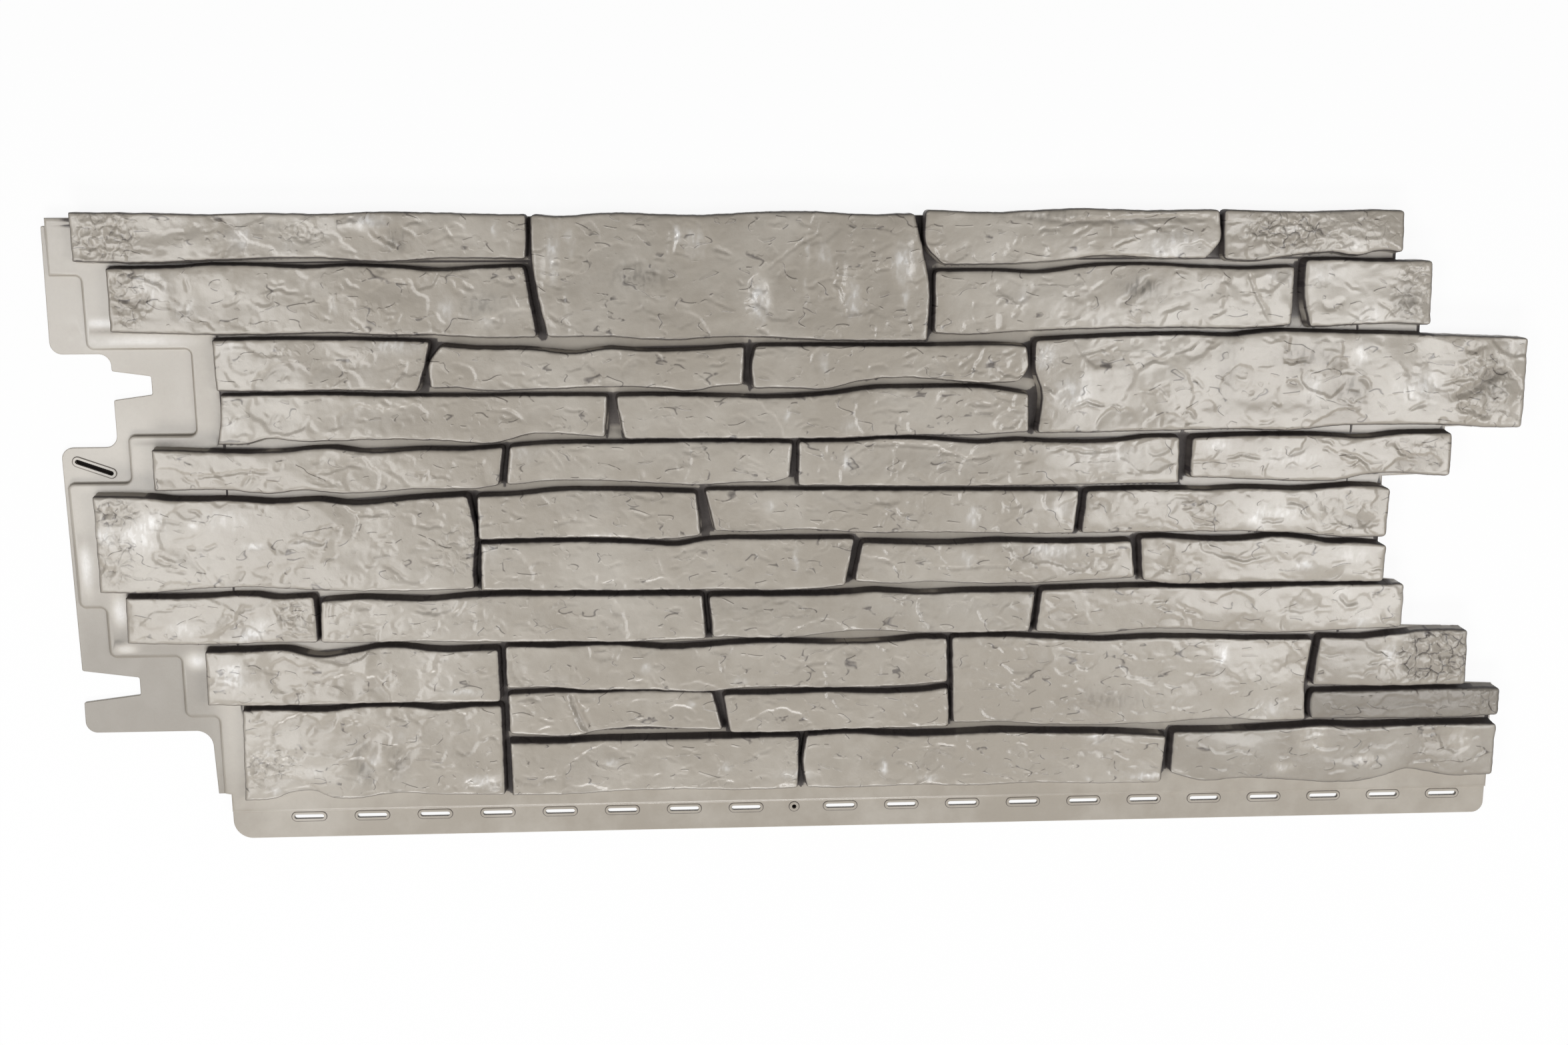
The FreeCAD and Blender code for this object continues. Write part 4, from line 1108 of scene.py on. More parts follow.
STONES = tuple(Stone(*row) for row in (
    ("A1", Rise.SHALLOW, [(-539.5, 247), (-480, 246), (-440, 245), (-400, 246), (-355, 245), (-320, 246.5),
     (-280, 246), (-230, 244.5), (-205, 244.5)], [(-539.5, 211), (-480, 210), (-430, 212), (-350, 212.5),
     (-315, 210), (-265, 212.5), (-206, 211.5)]),
    ("A2", Rise.HIGH, [(-202, 244.5), (-180, 243), (-150, 245), (-70, 243.5), (-32, 245.5), (0, 246),
     (55, 243.5), (86, 244.5)], [(-202, 210), (-192, 153.5), (-137, 153), (-112, 151), (-45, 152.5),
     (20, 149.5), (97, 148.5), (97, 197), (93, 215)], 1, 2),
    ("A3", Rise.MIDDLE, [(94, 247), (142, 245), (217, 247.5), (265, 246), (319, 246.5)], [(95, 220),
     (108, 206), (175, 207), (200, 209), (230, 212), (265, 210.5), (310, 209.5), (320, 222)], 1, 1),
    ("A4", Rise.SHALLOW, [(322.5, 246.5), (365, 245), (410, 245), (440, 246), (463, 245.5)], [(324, 209),
     (345, 207.5), (385, 212.5), (407, 214), (430, 211.5), (445, 215), (463.5, 213.5)]),
    ("B1", Rise.MIDDLE, [(-515.5, 206), (-462, 207), (-440, 208.5), (-405, 208), (-365, 206), (-340, 207.5),
     (-305, 206), (-270, 203.5), (-245, 205), (-208, 206.5)], [(-515.5, 159), (-460, 157), (-400, 156.5),
     (-355, 157.5), (-310, 155.5), (-280, 155.5), (-240, 153), (-199.5, 153)]),
    ("B2", Rise.SHALLOW, [(102, 201.5), (155, 201), (180, 199.5), (227, 205), (277, 205), (302, 203.5),
     (345, 202), (380, 203.5)], [(102, 154), (130, 153), (167, 155), (240, 157), (297, 157), (350, 156.5),
     (379.5, 158.5)]),
    ("B3", Rise.HIGH, [(387, 208.5), (415, 208.5), (440, 207.5), (486.5, 207.5)], [(387, 184), (393, 157),
     (425, 158.5), (460, 159.5), (488.5, 158)], 1),
    ("C1", Rise.SHALLOW, [(-442, 152.5), (-405, 153), (-355, 152.5), (-305, 151.5),
     (-280, 150.5)], [(-441, 114), (-405, 113.5), (-355, 114), (-310, 113), (-291, 112.5), (-286, 127)], 0, 1),
    ("C2", Rise.HIGH, [(-272, 147.5), (-247, 145), (-210, 144.5), (-170, 141), (-145, 144.5), (-127, 143),
     (-62, 144), (-43, 145.5)], [(-281, 135), (-281, 115), (-262, 115.5), (-247, 113.5), (-195, 114),
     (-110, 114), (-87, 111.5), (-62, 115), (-44, 116)], 1),
    ("C3", Rise.MIDDLE, [(-35, 145.5), (5, 145.5), (105, 145), (142, 145.5), (174, 144)], [(-38, 130),
     (-37, 113), (-10, 113), (22, 112.5), (40, 117), (80, 120.5), (105, 119), (130, 116), (168, 116.5),
     (175, 126)], 1, 1),
    ("C4", Rise.HIGH, [(180, 148.5), (252, 151.5), (307, 152), (330, 151), (360, 154), (415, 153), (482, 151),
     (567, 147.5)], [(180, 127), (185.5, 109), (183, 76.5), (265, 77), (340, 78), (390, 77), (420, 80),
     (465, 80.5), (515, 79.5), (540, 77.5), (567, 77)], 2),
    ("D1", Rise.LOW, [(-439, 111), (-355, 111), (-305, 109.5), (-255, 109), (-195, 109),
     (-147.5, 108.5)], [(-440, 90), (-443, 73.5), (-422, 73.5), (-405, 77.5), (-385, 75.5), (-310, 76),
     (-280, 75), (-235, 72.5), (-205, 79.5), (-175, 78.5), (-150, 76)], 1),
    ("D2", Rise.MIDDLE, [(-141.5, 108.5), (-112, 108.5), (-55, 107), (-30, 106), (20, 108), (55, 112.5),
     (87, 113), (142, 112.5), (176, 107.5)], [(-136, 75), (-70, 74.5), (30, 74), (80, 75.5), (130, 75),
     (177, 77.5)]),
    ("E1", Rise.MIDDLE, [(-492, 70), (-467, 69), (-402, 67.5), (-355, 70), (-335, 67), (-285, 68.5),
     (-255, 68), (-227.5, 70)], [(-492, 38.5), (-440, 38.5), (-405, 35.5), (-380, 37.5), (-355, 35),
     (-292, 37.5), (-250, 37.5), (-232, 40)]),
    ("E2", Rise.SHALLOW, [(-223.5, 70), (-195, 72), (-145, 72), (-70, 72.5), (-6, 71)], [(-227, 40),
     (-185, 43), (-145, 42), (-107, 39.5), (-82, 38), (-45, 40), (-20, 40), (-8.5, 43.5)]),
    ("E3", Rise.SHALLOW, [(-2, 72), (30, 71.5), (67, 73.5), (92, 73), (142, 69.5), (167, 71), (195, 69.5),
     (250, 70), (265, 72), (296, 72.5)], [(-2.5, 37), (30, 36.5), (80, 35.5), (195, 35), (260, 35.5),
     (297, 35.5)]),
    ("E4", Rise.HIGH, [(305, 72), (330, 73), (402, 73), (450, 71), (465, 73), (512, 74)], [(304.5, 40.5),
     (330, 39.5), (360, 38), (427, 37.5), (445, 41), (512, 39.5)]),
    ("F1", Rise.PROUD, [(-538, 35), (-500, 34), (-480, 32), (-430, 31), (-405, 29), (-367, 30), (-350, 27.5),
     (-292, 31), (-256, 33)], [(-538, -40), (-500, -40.5), (-480, -39), (-430, -37), (-375, -40), (-300, -42),
     (-253, -41), (-253.5, -30), (-251, 0)], 0, 2),
    ("F2", Rise.MIDDLE, [(-249.5, 32), (-220, 32.5), (-190, 35.5), (-132, 35), (-81, 33)], [(-249.5, -2.5),
     (-155, -2), (-105, -4), (-77.5, -1)]),
    ("F3", Rise.LOW, [(-75, 34.5), (-5, 34), (80, 32.5), (130, 32), (218.5, 31)], [(-67, 1.5), (-35, 0.5),
     (-5, 2), (55, -1.5), (105, -1.5), (167, -3.5), (215, -4), (216, 5)], 0, 1),
    ("F4", Rise.HIGH, [(223.5, 31), (290, 31.5), (320, 30.5), (345, 31.5), (390, 30), (452, 32),
     (465.5, 30)], [(220, -3), (300, -3), (370, -4), (402, -6), (430, -9), (464.5, -9)]),
    ("G1", Rise.SHALLOW, [(-248, -5.5), (-160, -5), (-120, -7), (-97, -8.5), (-75, -5), (-20, -4.5),
     (42, -5)], [(-249, -43), (-195, -44), (-70, -45), (17, -45), (35, -43)]),
    ("G2", Rise.HIGH, [(47.5, -8), (117, -10), (155, -8.5), (195, -10), (240, -10),
     (260.5, -9.5)], [(41.5, -39.5), (75, -41.5), (105, -40.5), (130, -42), (180, -43), (227, -41),
     (264.5, -39.5)]),
    ("G3", Rise.HIGH, [(267, -7), (290, -7), (310, -9), (352, -9.5), (370, -7.5), (402, -9.5), (420, -13),
     (440, -13), (465.5, -15.5)], [(270, -41.5), (285, -44), (352, -44.5), (464.5, -45.5)]),
    ("H1", Rise.MIDDLE, [(-520.5, -44.5), (-467, -45), (-422, -44), (-405, -46.5),
     (-377, -45.5)], [(-521.5, -81), (-460, -83), (-405, -82), (-375.5, -82.5)]),
    ("H2", Rise.HIGH, [(-372, -49), (-342, -47.5), (-285, -49.5), (-257, -47), (-225, -46.5), (-145, -47.5),
     (-77, -48)], [(-374, -82.5), (-340, -83), (-295, -82.5), (-255, -84), (-195, -84.5), (-145, -85.5),
     (-74.5, -84)]),
    ("H3", Rise.HIGH, [(-72.5, -49), (30, -49), (60, -47.5), (92, -50), (130, -49), (185.5, -49)], [(-70, -83),
     (0, -83.5), (30, -80), (55, -79), (80, -81), (125, -82.5), (181, -82)]),
    ("H4", Rise.MIDDLE, [(190, -48), (265, -47), (340, -48.5), (415, -47.5), (482.5, -47.5)], [(186, -82.5),
     (240, -85), (270, -82), (302, -82), (340, -85), (370, -86.5), (440, -85), (482.5, -83.5)]),
    ("I1", Rise.HIGH, [(-462.5, -88), (-430, -88), (-398, -88), (-380, -93), (-347, -90), (-330, -86.5),
     (-280, -90.5), (-237, -89.5)], [(-463.5, -131.5), (-425, -132.5), (-330, -132), (-236.5, -132.5)]),
    ("I2", Rise.MIDDLE, [(-232, -87.5), (-195, -88.5), (-145, -87.5), (-108, -91), (-35, -87.5), (35, -89.5),
     (70, -88.5), (92, -86.5), (116, -86.5)], [(-232, -122.5), (-195, -122), (-170, -124.5), (-120, -125),
     (-75, -127.5), (-45, -125), (17, -126), (80, -125.5), (117, -123)]),
    ("I3", Rise.SHALLOW, [(119.5, -86), (167, -86), (190, -87.5), (240, -90.5), (277, -89), (365, -91.5),
     (411, -92)], [(121.5, -157), (165, -157.5), (195, -160), (290, -160.5), (350, -158), (370, -160),
     (409, -160), (407, -129)], 0, 1),
    ("I4", Rise.MIDDLE, [(416.5, -90.5), (452, -91.5), (475, -89), (515, -86), (537.5, -86.5)], [(412, -130.5),
     (452, -132), (538.5, -132.5)]),
    ("J1", Rise.MIDDLE, [(-437.5, -136), (-405, -136), (-372, -137.5), (-350, -135), (-310, -135),
     (-285, -138), (-262, -136), (-236, -135.5)], [(-440, -210.5), (-420, -210), (-402, -204.5), (-385, -204),
     (-374, -208.5), (-315, -207), (-280, -209), (-235.5, -210)]),
    ("J2", Rise.LOW, [(-231.5, -127), (-190, -126), (-162, -127), (-135, -126), (-70, -128)], [(-231, -160),
     (-195, -163), (-175, -162.5), (-165, -160), (-62, -160)]),
    ("J3", Rise.SHALLOW, [(-62, -130), (-20, -130), (20, -129), (55, -130.5), (100, -129.5),
     (117.5, -127)], [(-57, -162), (-20, -162.5), (45, -161), (119, -160.5)]),
    ("J4", Rise.SHALLOW, [(413, -136), (452, -136), (502, -135.5), (568, -135.5)], [(411.5, -150),
     (413.5, -159.5), (470, -160), (527, -160.5), (568, -159)], 1),
    ("K1", Rise.HIGH, [(-230.5, -166), (-190, -167), (-170, -166), (-82, -165.5), (-15, -165),
     (-1.5, -165)], [(-230, -210), (-195, -210.5), (-132, -208), (-82, -208.5), (-45, -209.5), (-2.5, -209)]),
    ("K2", Rise.HIGH, [(4, -164), (42, -163), (72, -165.5), (120, -166), (155, -164.5), (195, -166),
     (252, -167.5), (275, -169), (295, -170.5)], [(1, -182), (4, -208.5), (42, -209.5), (92, -208),
     (130, -209.5), (195, -208.5), (240, -210), (292, -210)], 1),
    ("K3", Rise.HIGH, [(300, -167), (340, -167.5), (405, -165), (420, -164), (452, -165.5), (502, -165),
     (566.5, -165)], [(299, -202), (322, -209), (352, -208), (475, -208.5), (492, -203), (510, -205.5),
     (530, -209), (566.5, -209)]),
))


def rounded_loop(corners: Sequence[tuple[tuple[float, float], float]], spacing: float = 1.2) -> Array:
    """An outline with an arc at each corner that has a radius, as points about one spacing apart on the arcs.

    Args:
        corners: each corner's point and radius, clockwise.
        spacing: the distance between points on the arcs.

    Returns:
        The points, n by 2.
    """
    points = np.array([point for point, _ in corners], float)
    stretches = []
    for index, (_, radius) in enumerate(corners):
        here = points[index]
        back = points[index - 1] - here
        ahead = points[(index + 1) % len(points)] - here
        back = back / np.hypot(*back)
        ahead = ahead / np.hypot(*ahead)
        opening = math.acos(float(np.clip(back @ ahead, -1.0, 1.0)))
        if radius == 0:
            stretches.append(here[None])
            continue
        bisector = (back + ahead) / np.hypot(*(back + ahead))
        centre = here + bisector * radius / math.sin(0.5 * opening)
        reach = radius / math.tan(0.5 * opening)
        start = here + back * reach - centre
        finish = here + ahead * reach - centre
        turn = math.atan2(start[0] * finish[1] - start[1] * finish[0], float(start @ finish))
        steps = max(3, math.ceil(abs(turn) * radius / spacing))
        angles = math.atan2(start[1], start[0]) + turn * np.linspace(0.0, 1.0, steps + 1)
        stretches.append(centre + radius * np.stack([np.cos(angles), np.sin(angles)], -1))
    return np.concatenate(stretches)


def moved_loop(loop: Array, distance: float) -> Array:
    """A clockwise loop moved outward by the distance, each point along the bisector of its two sides."""
    back = loop - np.roll(loop, 1, axis=0)
    ahead = np.roll(loop, -1, axis=0) - loop
    back = back / np.hypot(back[:, 0], back[:, 1])[:, None]
    ahead = ahead / np.hypot(ahead[:, 0], ahead[:, 1])[:, None]
    out_back = np.stack([-back[:, 1], back[:, 0]], -1)
    out_ahead = np.stack([-ahead[:, 1], ahead[:, 0]], -1)
    bisector = out_back + out_ahead
    bisector = bisector / np.hypot(bisector[:, 0], bisector[:, 1])[:, None]
    share = (bisector * out_back).sum(1)
    return loop + bisector * (distance / share)[:, None]


def inside_loop(loop: Array, places: Array) -> Array:
    """Whether each place is inside a closed loop: a ray to the right crosses it an odd number of times."""
    x, y = places[:, 0][:, None], places[:, 1][:, None]
    start, finish = loop, np.roll(loop, -1, axis=0)
    spans = (start[:, 1] > y) != (finish[:, 1] > y)
    rise = np.where(finish[:, 1] == start[:, 1], 1e-12, finish[:, 1] - start[:, 1])
    crossing = start[:, 0] + (y - start[:, 1]) / rise * (finish[:, 0] - start[:, 0])
    return (spans & (x < crossing)).sum(1) % 2 == 1


def way_from_loop(loop: Array, places: Array) -> Array:
    """The way to each place from the nearest point of a closed loop."""
    return nearest_on_line(np.concatenate([loop, loop[:1]]), places)[0]


def loop_distance(loop: Array, places: Array) -> Array:
    """The distance from each place to the nearest side of a closed loop."""
    return np.hypot(*way_from_loop(loop, places).T)


def inside_any(loops: Sequence[Array], places: Array) -> Array:
    """Whether each place lies inside any of the loops."""
    found = np.zeros(len(places), bool)
    for loop in loops:
        near = ((places > loop.min(0)) & (places < loop.max(0))).all(1)
        found[near] |= inside_loop(loop, places[near])
    return found


def on_any(loops: Sequence[Array], places: Array) -> Array:
    """Whether each place lies on a side of any of the loops."""
    found = np.zeros(len(places), bool)
    for loop in loops:
        near = ((places > loop.min(0) - 1.0) & (places < loop.max(0) + 1.0)).all(1)
        found[near] |= loop_distance(loop, places[near]) < ON_LINE
    return found


def within(values: Array, band: tuple[float, float]) -> Array:
    """Whether each value lies between the two ends of a band."""
    return (values > band[0]) & (values < band[1])


def divided_loop(loop: Array, spacing: float) -> Array:
    """A closed loop with its long sides cut into lengths of about the spacing."""
    stretches = []
    for start, finish in zip(loop, np.roll(loop, -1, axis=0)):
        steps = max(1, round(float(np.hypot(*(finish - start))) / spacing))
        stretches.append(start + (finish - start) * (np.arange(steps) / steps)[:, None])
    return np.concatenate(stretches)


def slot_loop(across: float, up: float, length: float, width: float, angle: float = 0.0,
              steps: int = 10) -> Array:
    """A slot with round ends, clockwise.

    Args:
        across: the centre's place along the panel.
        up: the centre's place across the panel.
        length: the overall length.
        width: the overall width.
        angle: the turn in degrees.
        steps: the number of points on each end.

    Returns:
        The points, n by 2.
    """
    half = 0.5 * width
    reach = 0.5 * length - half
    turn = np.linspace(0.5 * math.pi, -0.5 * math.pi, steps + 1)
    right = np.stack([reach + half * np.cos(turn), half * np.sin(turn)], -1)
    right = right if reach > 0.01 else right[:-1]
    loop = np.concatenate([right, -right])
    radians = math.radians(angle)
    spin = np.array([[math.cos(radians), math.sin(radians)], [-math.sin(radians), math.cos(radians)]])
    return loop @ spin + np.array([across, up])


@dataclass
class DeckPlan:
    """The deck that carries the stones, with the flange at its left and the nail strip at its near edge."""

    deck_corner: float = 5.0
    flange_corner: float = 9.0
    slot_line: float = -229.6
    slot_length: float = 23.5
    slot_width: float = 3.6
    slot_pitch: float = 50.0
    left_slots: tuple[float, int] = (-394.0, 8)
    right_slots: tuple[float, int] = (32.5, 11)
    slanted_place: tuple[float, float] = (-540.0, 55.0)
    slanted_length: float = 30.0
    slanted_turn: float = -20.0
    pilot_place: float = -5.0
    pilot_bore: float = 3.6
    pilot_rim: float = 8.4
    rim_margin: float = 2.2
    rib_start: float = -400.0
    rib_pitch: float = 100.0
    rib_count: int = 9
    edge_room: float = 0.6
    joint_room: float = 14.0
    joint_far: float = 70.0
    narrow_gap: tuple[float, float] = (6.0, 13.0)
    upright_gap: tuple[float, float] = (9.0, 15.0)
    joint_spacing: float = 2.5
    flange_spacing: float = 6.0
    clear: float = 3.2
    foot_band: tuple[float, float] = (2.0, 5.0)
    bore_band: tuple[float, float] = (2.0, 3.05)
    rim_band: tuple[float, float] = (2.4, 3.0)
    foot_end: float = -450.0
    # Painted shade on the foot of the stepped left edge and on the rims of the openings
    foot_painted_shade: float = 0.52
    rim_painted_shade: float = 0.85
    crest_round: float = 1.7
    foot_round: float = 1.3
    crest_rows: tuple[float, ...] = (0.12, 0.42, 1.0, 1.45)
    foot_rows: tuple[float, ...] = (0.15, 0.5, 1.0, 1.6)

    def sheet_loop(self) -> Array:
        """The outline of the thin sheet: the flange with its notches, and the nail strip."""
        flange = self.flange_corner
        return rounded_loop([
            ((-565.0, 237.0), 1.5), ((-440.0, 237.0), 0), ((-440.0, -150.0), 0), ((568.0, -150.0), 0),
            ((568.0, -247.0), 9.0), ((-454.0, -247.0), 15.0), ((-454.0, -209.0), 0), ((-464.0, -209.0), 0),
            ((-466.0, -156.5), 13.0), ((-563.5, -156.5), flange), ((-563.0, -131.5), 1.5),
            ((-519.0, -126.0), 1.5), ((-519.0, -112.0), 1.5), ((-562.5, -106.0), 1.5),
            ((-564.0, 70.5), flange), ((-521.5, 70.5), flange), ((-521.5, 106.5), 1.5),
            ((-492.5, 110.5), 1.5), ((-492.5, 124.5), 1.5), ((-521.5, 128.5), 1.5),
            ((-521.5, 141.5), flange), ((-566.0, 141.5), flange),
        ])

    def deck_loop(self) -> Array:
        """The outline of the raised deck, with round corners only along its stepped left end."""
        points = [
            (-561.0, 236.0), (-561.0, 243.0), (462.0, 243.0), (462.0, 207.0), (485.0, 206.0),
            (485.0, 149.5), (564.0, 148.0), (564.0, 78.0), (511.0, 77.0), (511.0, 39.5), (463.0, 38.0),
            (463.0, -44.5), (479.0, -46.5), (479.0, -84.0), (535.0, -86.0), (535.0, -133.0),
            (565.5, -134.5), (565.5, -210.0), (567.5, -210.0), (567.5, -223.5), (-453.5, -223.5),
            (-453.5, -209.0), (-458.5, -208.0), (-458.5, -144.0), (-484.5, -144.0), (-484.5, -94.5),
            (-539.0, -94.5), (-539.0, -54.5), (-559.0, -54.5), (-560.0, 43.0), (-512.0, 43.0),
            (-512.0, 79.5), (-460.5, 79.5), (-460.5, 145.5), (-537.5, 145.5), (-537.5, 200.5),
            (-561.0, 200.5),
        ]
        first_round = points.index((-458.5, -144.0))
        return rounded_loop([(point, self.deck_corner if first_round <= index < len(points) - 1 else 0)
                             for index, point in enumerate(points)])

    def past_edge(self, places: Array) -> Array:
        """Whether each place lies outside the deck or close to its edge."""
        loop = self.deck_loop()
        return ~inside_loop(loop, places) | (loop_distance(loop, places) < self.edge_room)

    def joint_share(self, places: Array, own: Optional[Stone] = None) -> tuple[Array, Array]:
        """How much each place lies in a narrow joint, and how near the foot of the stone on its near side.

        Args:
            places: the places in plan.
            own: the stone whose edge they lie on, which then counts as nearest.

        Returns:
            The first is 1 in a joint up to 6 mm wide and 0 past 13 mm, from the distances to the two nearest
            stones. The second is how much painted shade the joint gets: 1 at the foot of a stone that lies
            towards the nail strip, as a painted shadow of that stone, and between two that stand side by side,
            and less the further a place is from those.
        """
        nearest = np.full(len(places), FAR if own is None else 0.0)
        second, foot, under, left, right = np.full((5, len(places)), FAR)
        for stone in STONES:
            if stone is own:
                continue
            outline = stone.outline()
            low, high = outline.min(0) - self.joint_room, outline.max(0) + self.joint_room
            close = ((places > low) & (places < high)).all(1)
            if not close.any():
                continue
            ways = np.full((len(places), 2), self.joint_far)
            inside = inside_loop(outline, places[close])[:, None]
            ways[close] = np.where(inside, 0.0, -way_from_loop(outline, places[close]))
            away = np.hypot(ways[:, 0], ways[:, 1])
            second = np.minimum(second, np.maximum(nearest, away))
            nearest = np.minimum(nearest, away)
            beneath = (ways[:, 1] < 0.35 * np.abs(ways[:, 0])) | (away < 0.01)
            foot = np.minimum(foot, np.where(beneath, away, FAR))
            under = np.minimum(under, np.where(beneath, FAR, away))
            sideways = np.abs(ways[:, 0]) > np.abs(ways[:, 1])
            left = np.minimum(left, np.where(sideways & (ways[:, 0] < 0.0), away, FAR))
            right = np.minimum(right, np.where(sideways & (ways[:, 0] > 0.0), away, FAR))
        narrow = 1.0 - smooth_step(*self.narrow_gap, nearest + second)
        between = 1.0 - smooth_step(*self.upright_gap, left + right)
        # Painted shadow: darkest at the foot of the stone on the near side, fading over a few millimetres
        ramp = np.maximum(1.0 - foot / (2.4 + 1.8 * narrow), 0.38 - under / 4.0)
        return narrow, np.clip(np.maximum(ramp, 0.9 * between), 0.0, 1.0)

    def joint_points(self) -> Array:
        """Extra points for the plan, on a grid over the deck between and round the stones."""
        across = np.arange(-564.0, 570.0, self.joint_spacing)
        up = np.arange(-224.0, 244.0, self.joint_spacing)
        grid = np.stack(np.meshgrid(across, up), -1).reshape(-1, 2)
        grid = grid + 0.35 * np.stack([np.sin(grid[:, 1] * 1.7), np.cos(grid[:, 0] * 1.3)], -1)
        deck = self.deck_loop()
        grid = grid[inside_loop(deck, grid)]
        grid = grid[loop_distance(deck, grid) > self.clear]
        return grid[~inside_any([moved_loop(stone.outline(), -1.6) for stone in STONES], grid)]

    def slot_places(self) -> list[float]:
        """The nail slots' centres along the strip."""
        places = []
        for start, count in (self.left_slots, self.right_slots):
            places.extend(start + self.slot_pitch * number for number in range(count))
        return places

    def slanted_loop(self, margin: float) -> Array:
        """The slanted slot in the flange, or its rim, which is longer and wider by the margin."""
        return slot_loop(*self.slanted_place, self.slanted_length + margin, self.slot_width + margin,
                         self.slanted_turn)

    def openings(self, margin: float, pilot: float) -> list[Array]:
        """The outlines of the nail slots, the slanted slot and the pilot hole, or those of their rims.

        Args:
            margin: how much longer and wider than the slots they are.
            pilot: the width at the pilot hole.

        Returns:
            The loops.
        """
        loops = [slot_loop(place, self.slot_line, self.slot_length + margin, self.slot_width + margin)
                 for place in self.slot_places()]
        return loops + [self.slanted_loop(margin), slot_loop(self.pilot_place, self.slot_line, pilot, pilot)]

    def ribs(self) -> list[Array]:
        """The outlines of the ribs on the back."""
        middles = self.rib_start + self.rib_pitch * np.arange(self.rib_count)
        return [divided_loop(np.array([(middle - 1, 205.0), (middle + 1, 205.0), (middle + 1, -222.0),
                                       (middle - 1, -222.0)]), self.joint_spacing) for middle in middles]

    def outlines(self) -> Outlines:
        """All the outlines in the plan, by what they bound. The last ones only guide the triangles."""
        sheet, deck = self.sheet_loop(), self.deck_loop()
        rims = self.openings(2.0 * self.rim_margin, self.pilot_rim)
        lap = [(-532.0, 209.0), (-532.0, 262.0), (580.0, 262.0), (580.0, -221.0), (434.0, -221.0),
               (434.0, 209.0)]
        guides = [moved_loop(sheet, -0.5), moved_loop(sheet, -1.1)] + [moved_loop(rim, 0.6) for rim in rims]
        return {
            "sheet": [sheet],
            "deck": [deck],
            "deck_hollow": [moved_loop(deck, -WALL)],
            "crest": [moved_loop(deck, -share * self.crest_round) for share in self.crest_rows],
            "foot": [moved_loop(deck, share * self.foot_round) for share in self.foot_rows],
            "lap": [np.array(lap)],
            "ribs": self.ribs(),
            "slots": self.openings(0.0, self.pilot_bore),
            "rims": rims,
            "rim_tops": [moved_loop(rim, -0.55) for rim in rims],
            "hollows": [moved_loop(stone.outline(), -WALL - 0.15) for stone in STONES],
            "guides": guides,
        }

    def build(self) -> bpy.types.Object:
        """Makes the sheet, deck, rims, slots and ribs as one closed shell.

        All outlines go into one plan of triangles. Between each two neighbouring levels a triangle is solid or
        empty, and the shell is where that changes: level faces between one slab and the next, and upright
        faces between one triangle and the next. The edges of the deck and the rims are then eased.

        Returns:
            The object.
        """
        outlines = self.outlines()
        plan, faces = self.triangles(outlines)
        solid = self.solid_slabs(outlines, plan[faces].mean(1))
        quads, triangles = self.shell(plan, faces, solid)
        spots = np.tile(plan, (len(DECK_LEVELS), 1))
        vertices = np.column_stack([spots, self.eased(spots, np.repeat(DECK_LEVELS, len(plan)), outlines)])
        used = np.unique(np.concatenate([quads.ravel(), triangles.ravel()]))
        renumber = np.full(len(vertices), -1)
        renumber[used] = np.arange(len(used))
        kept = vertices[used]
        parts = MeshParts()
        parts.add(kept, [renumber[quads]], [renumber[triangles]], self.depths(kept, outlines), self.tones(kept))
        return parts.finish("deck_flange_and_strip", 30.0)

    def triangles(self, outlines: Outlines) -> tuple[Array, Array]:
        """Cuts the plan into triangles along all the outlines.

        Args:
            outlines: the outlines.

        Returns:
            The points of the plan, and its triangles, anticlockwise seen from above.
        """
        loops = [loop for group in outlines.values() for loop in group]
        edges = []
        first = 0
        for loop in loops:
            numbers = first + np.arange(len(loop))
            edges.extend(zip(numbers.tolist(), np.roll(numbers, -1).tolist()))
            first += len(loop)
        places = np.concatenate(loops + [self.joint_points(), self.flange_points()])
        result = delaunay_2d_cdt([Vector(place) for place in places], edges, [], 0, 1e-4)
        plan = np.array([tuple(place) for place in result[0]])
        return plan, self.anticlockwise(plan, np.array(result[2]))

    @staticmethod
    def solid_slabs(outlines: Outlines, centre: Array) -> Array:
        """Which triangles are solid in the slab above each level.

        Args:
            outlines: the outlines.
            centre: the triangles' centres.

        Returns:
            One row of truth values for each slab.
        """
        names = ("sheet", "deck", "deck_hollow", "lap", "ribs", "slots", "rims", "hollows")
        inside = [inside_any(outlines[name], centre) for name in names]
        sheet, deck, deck_hollow, lap, rib, slot, rim, stone = inside
        rib &= deck_hollow
        border = deck & ~deck_hollow
        rim &= sheet & ~deck & ~slot
        return np.array([
            (((sheet & ~deck) | (border & ~lap)) & ~slot) | rib,
            (border & ~lap) | rim | rib,
            border | rim | rib,
            border | rib,
            (deck & ~stone) | rib,
            deck & ~stone,
        ])

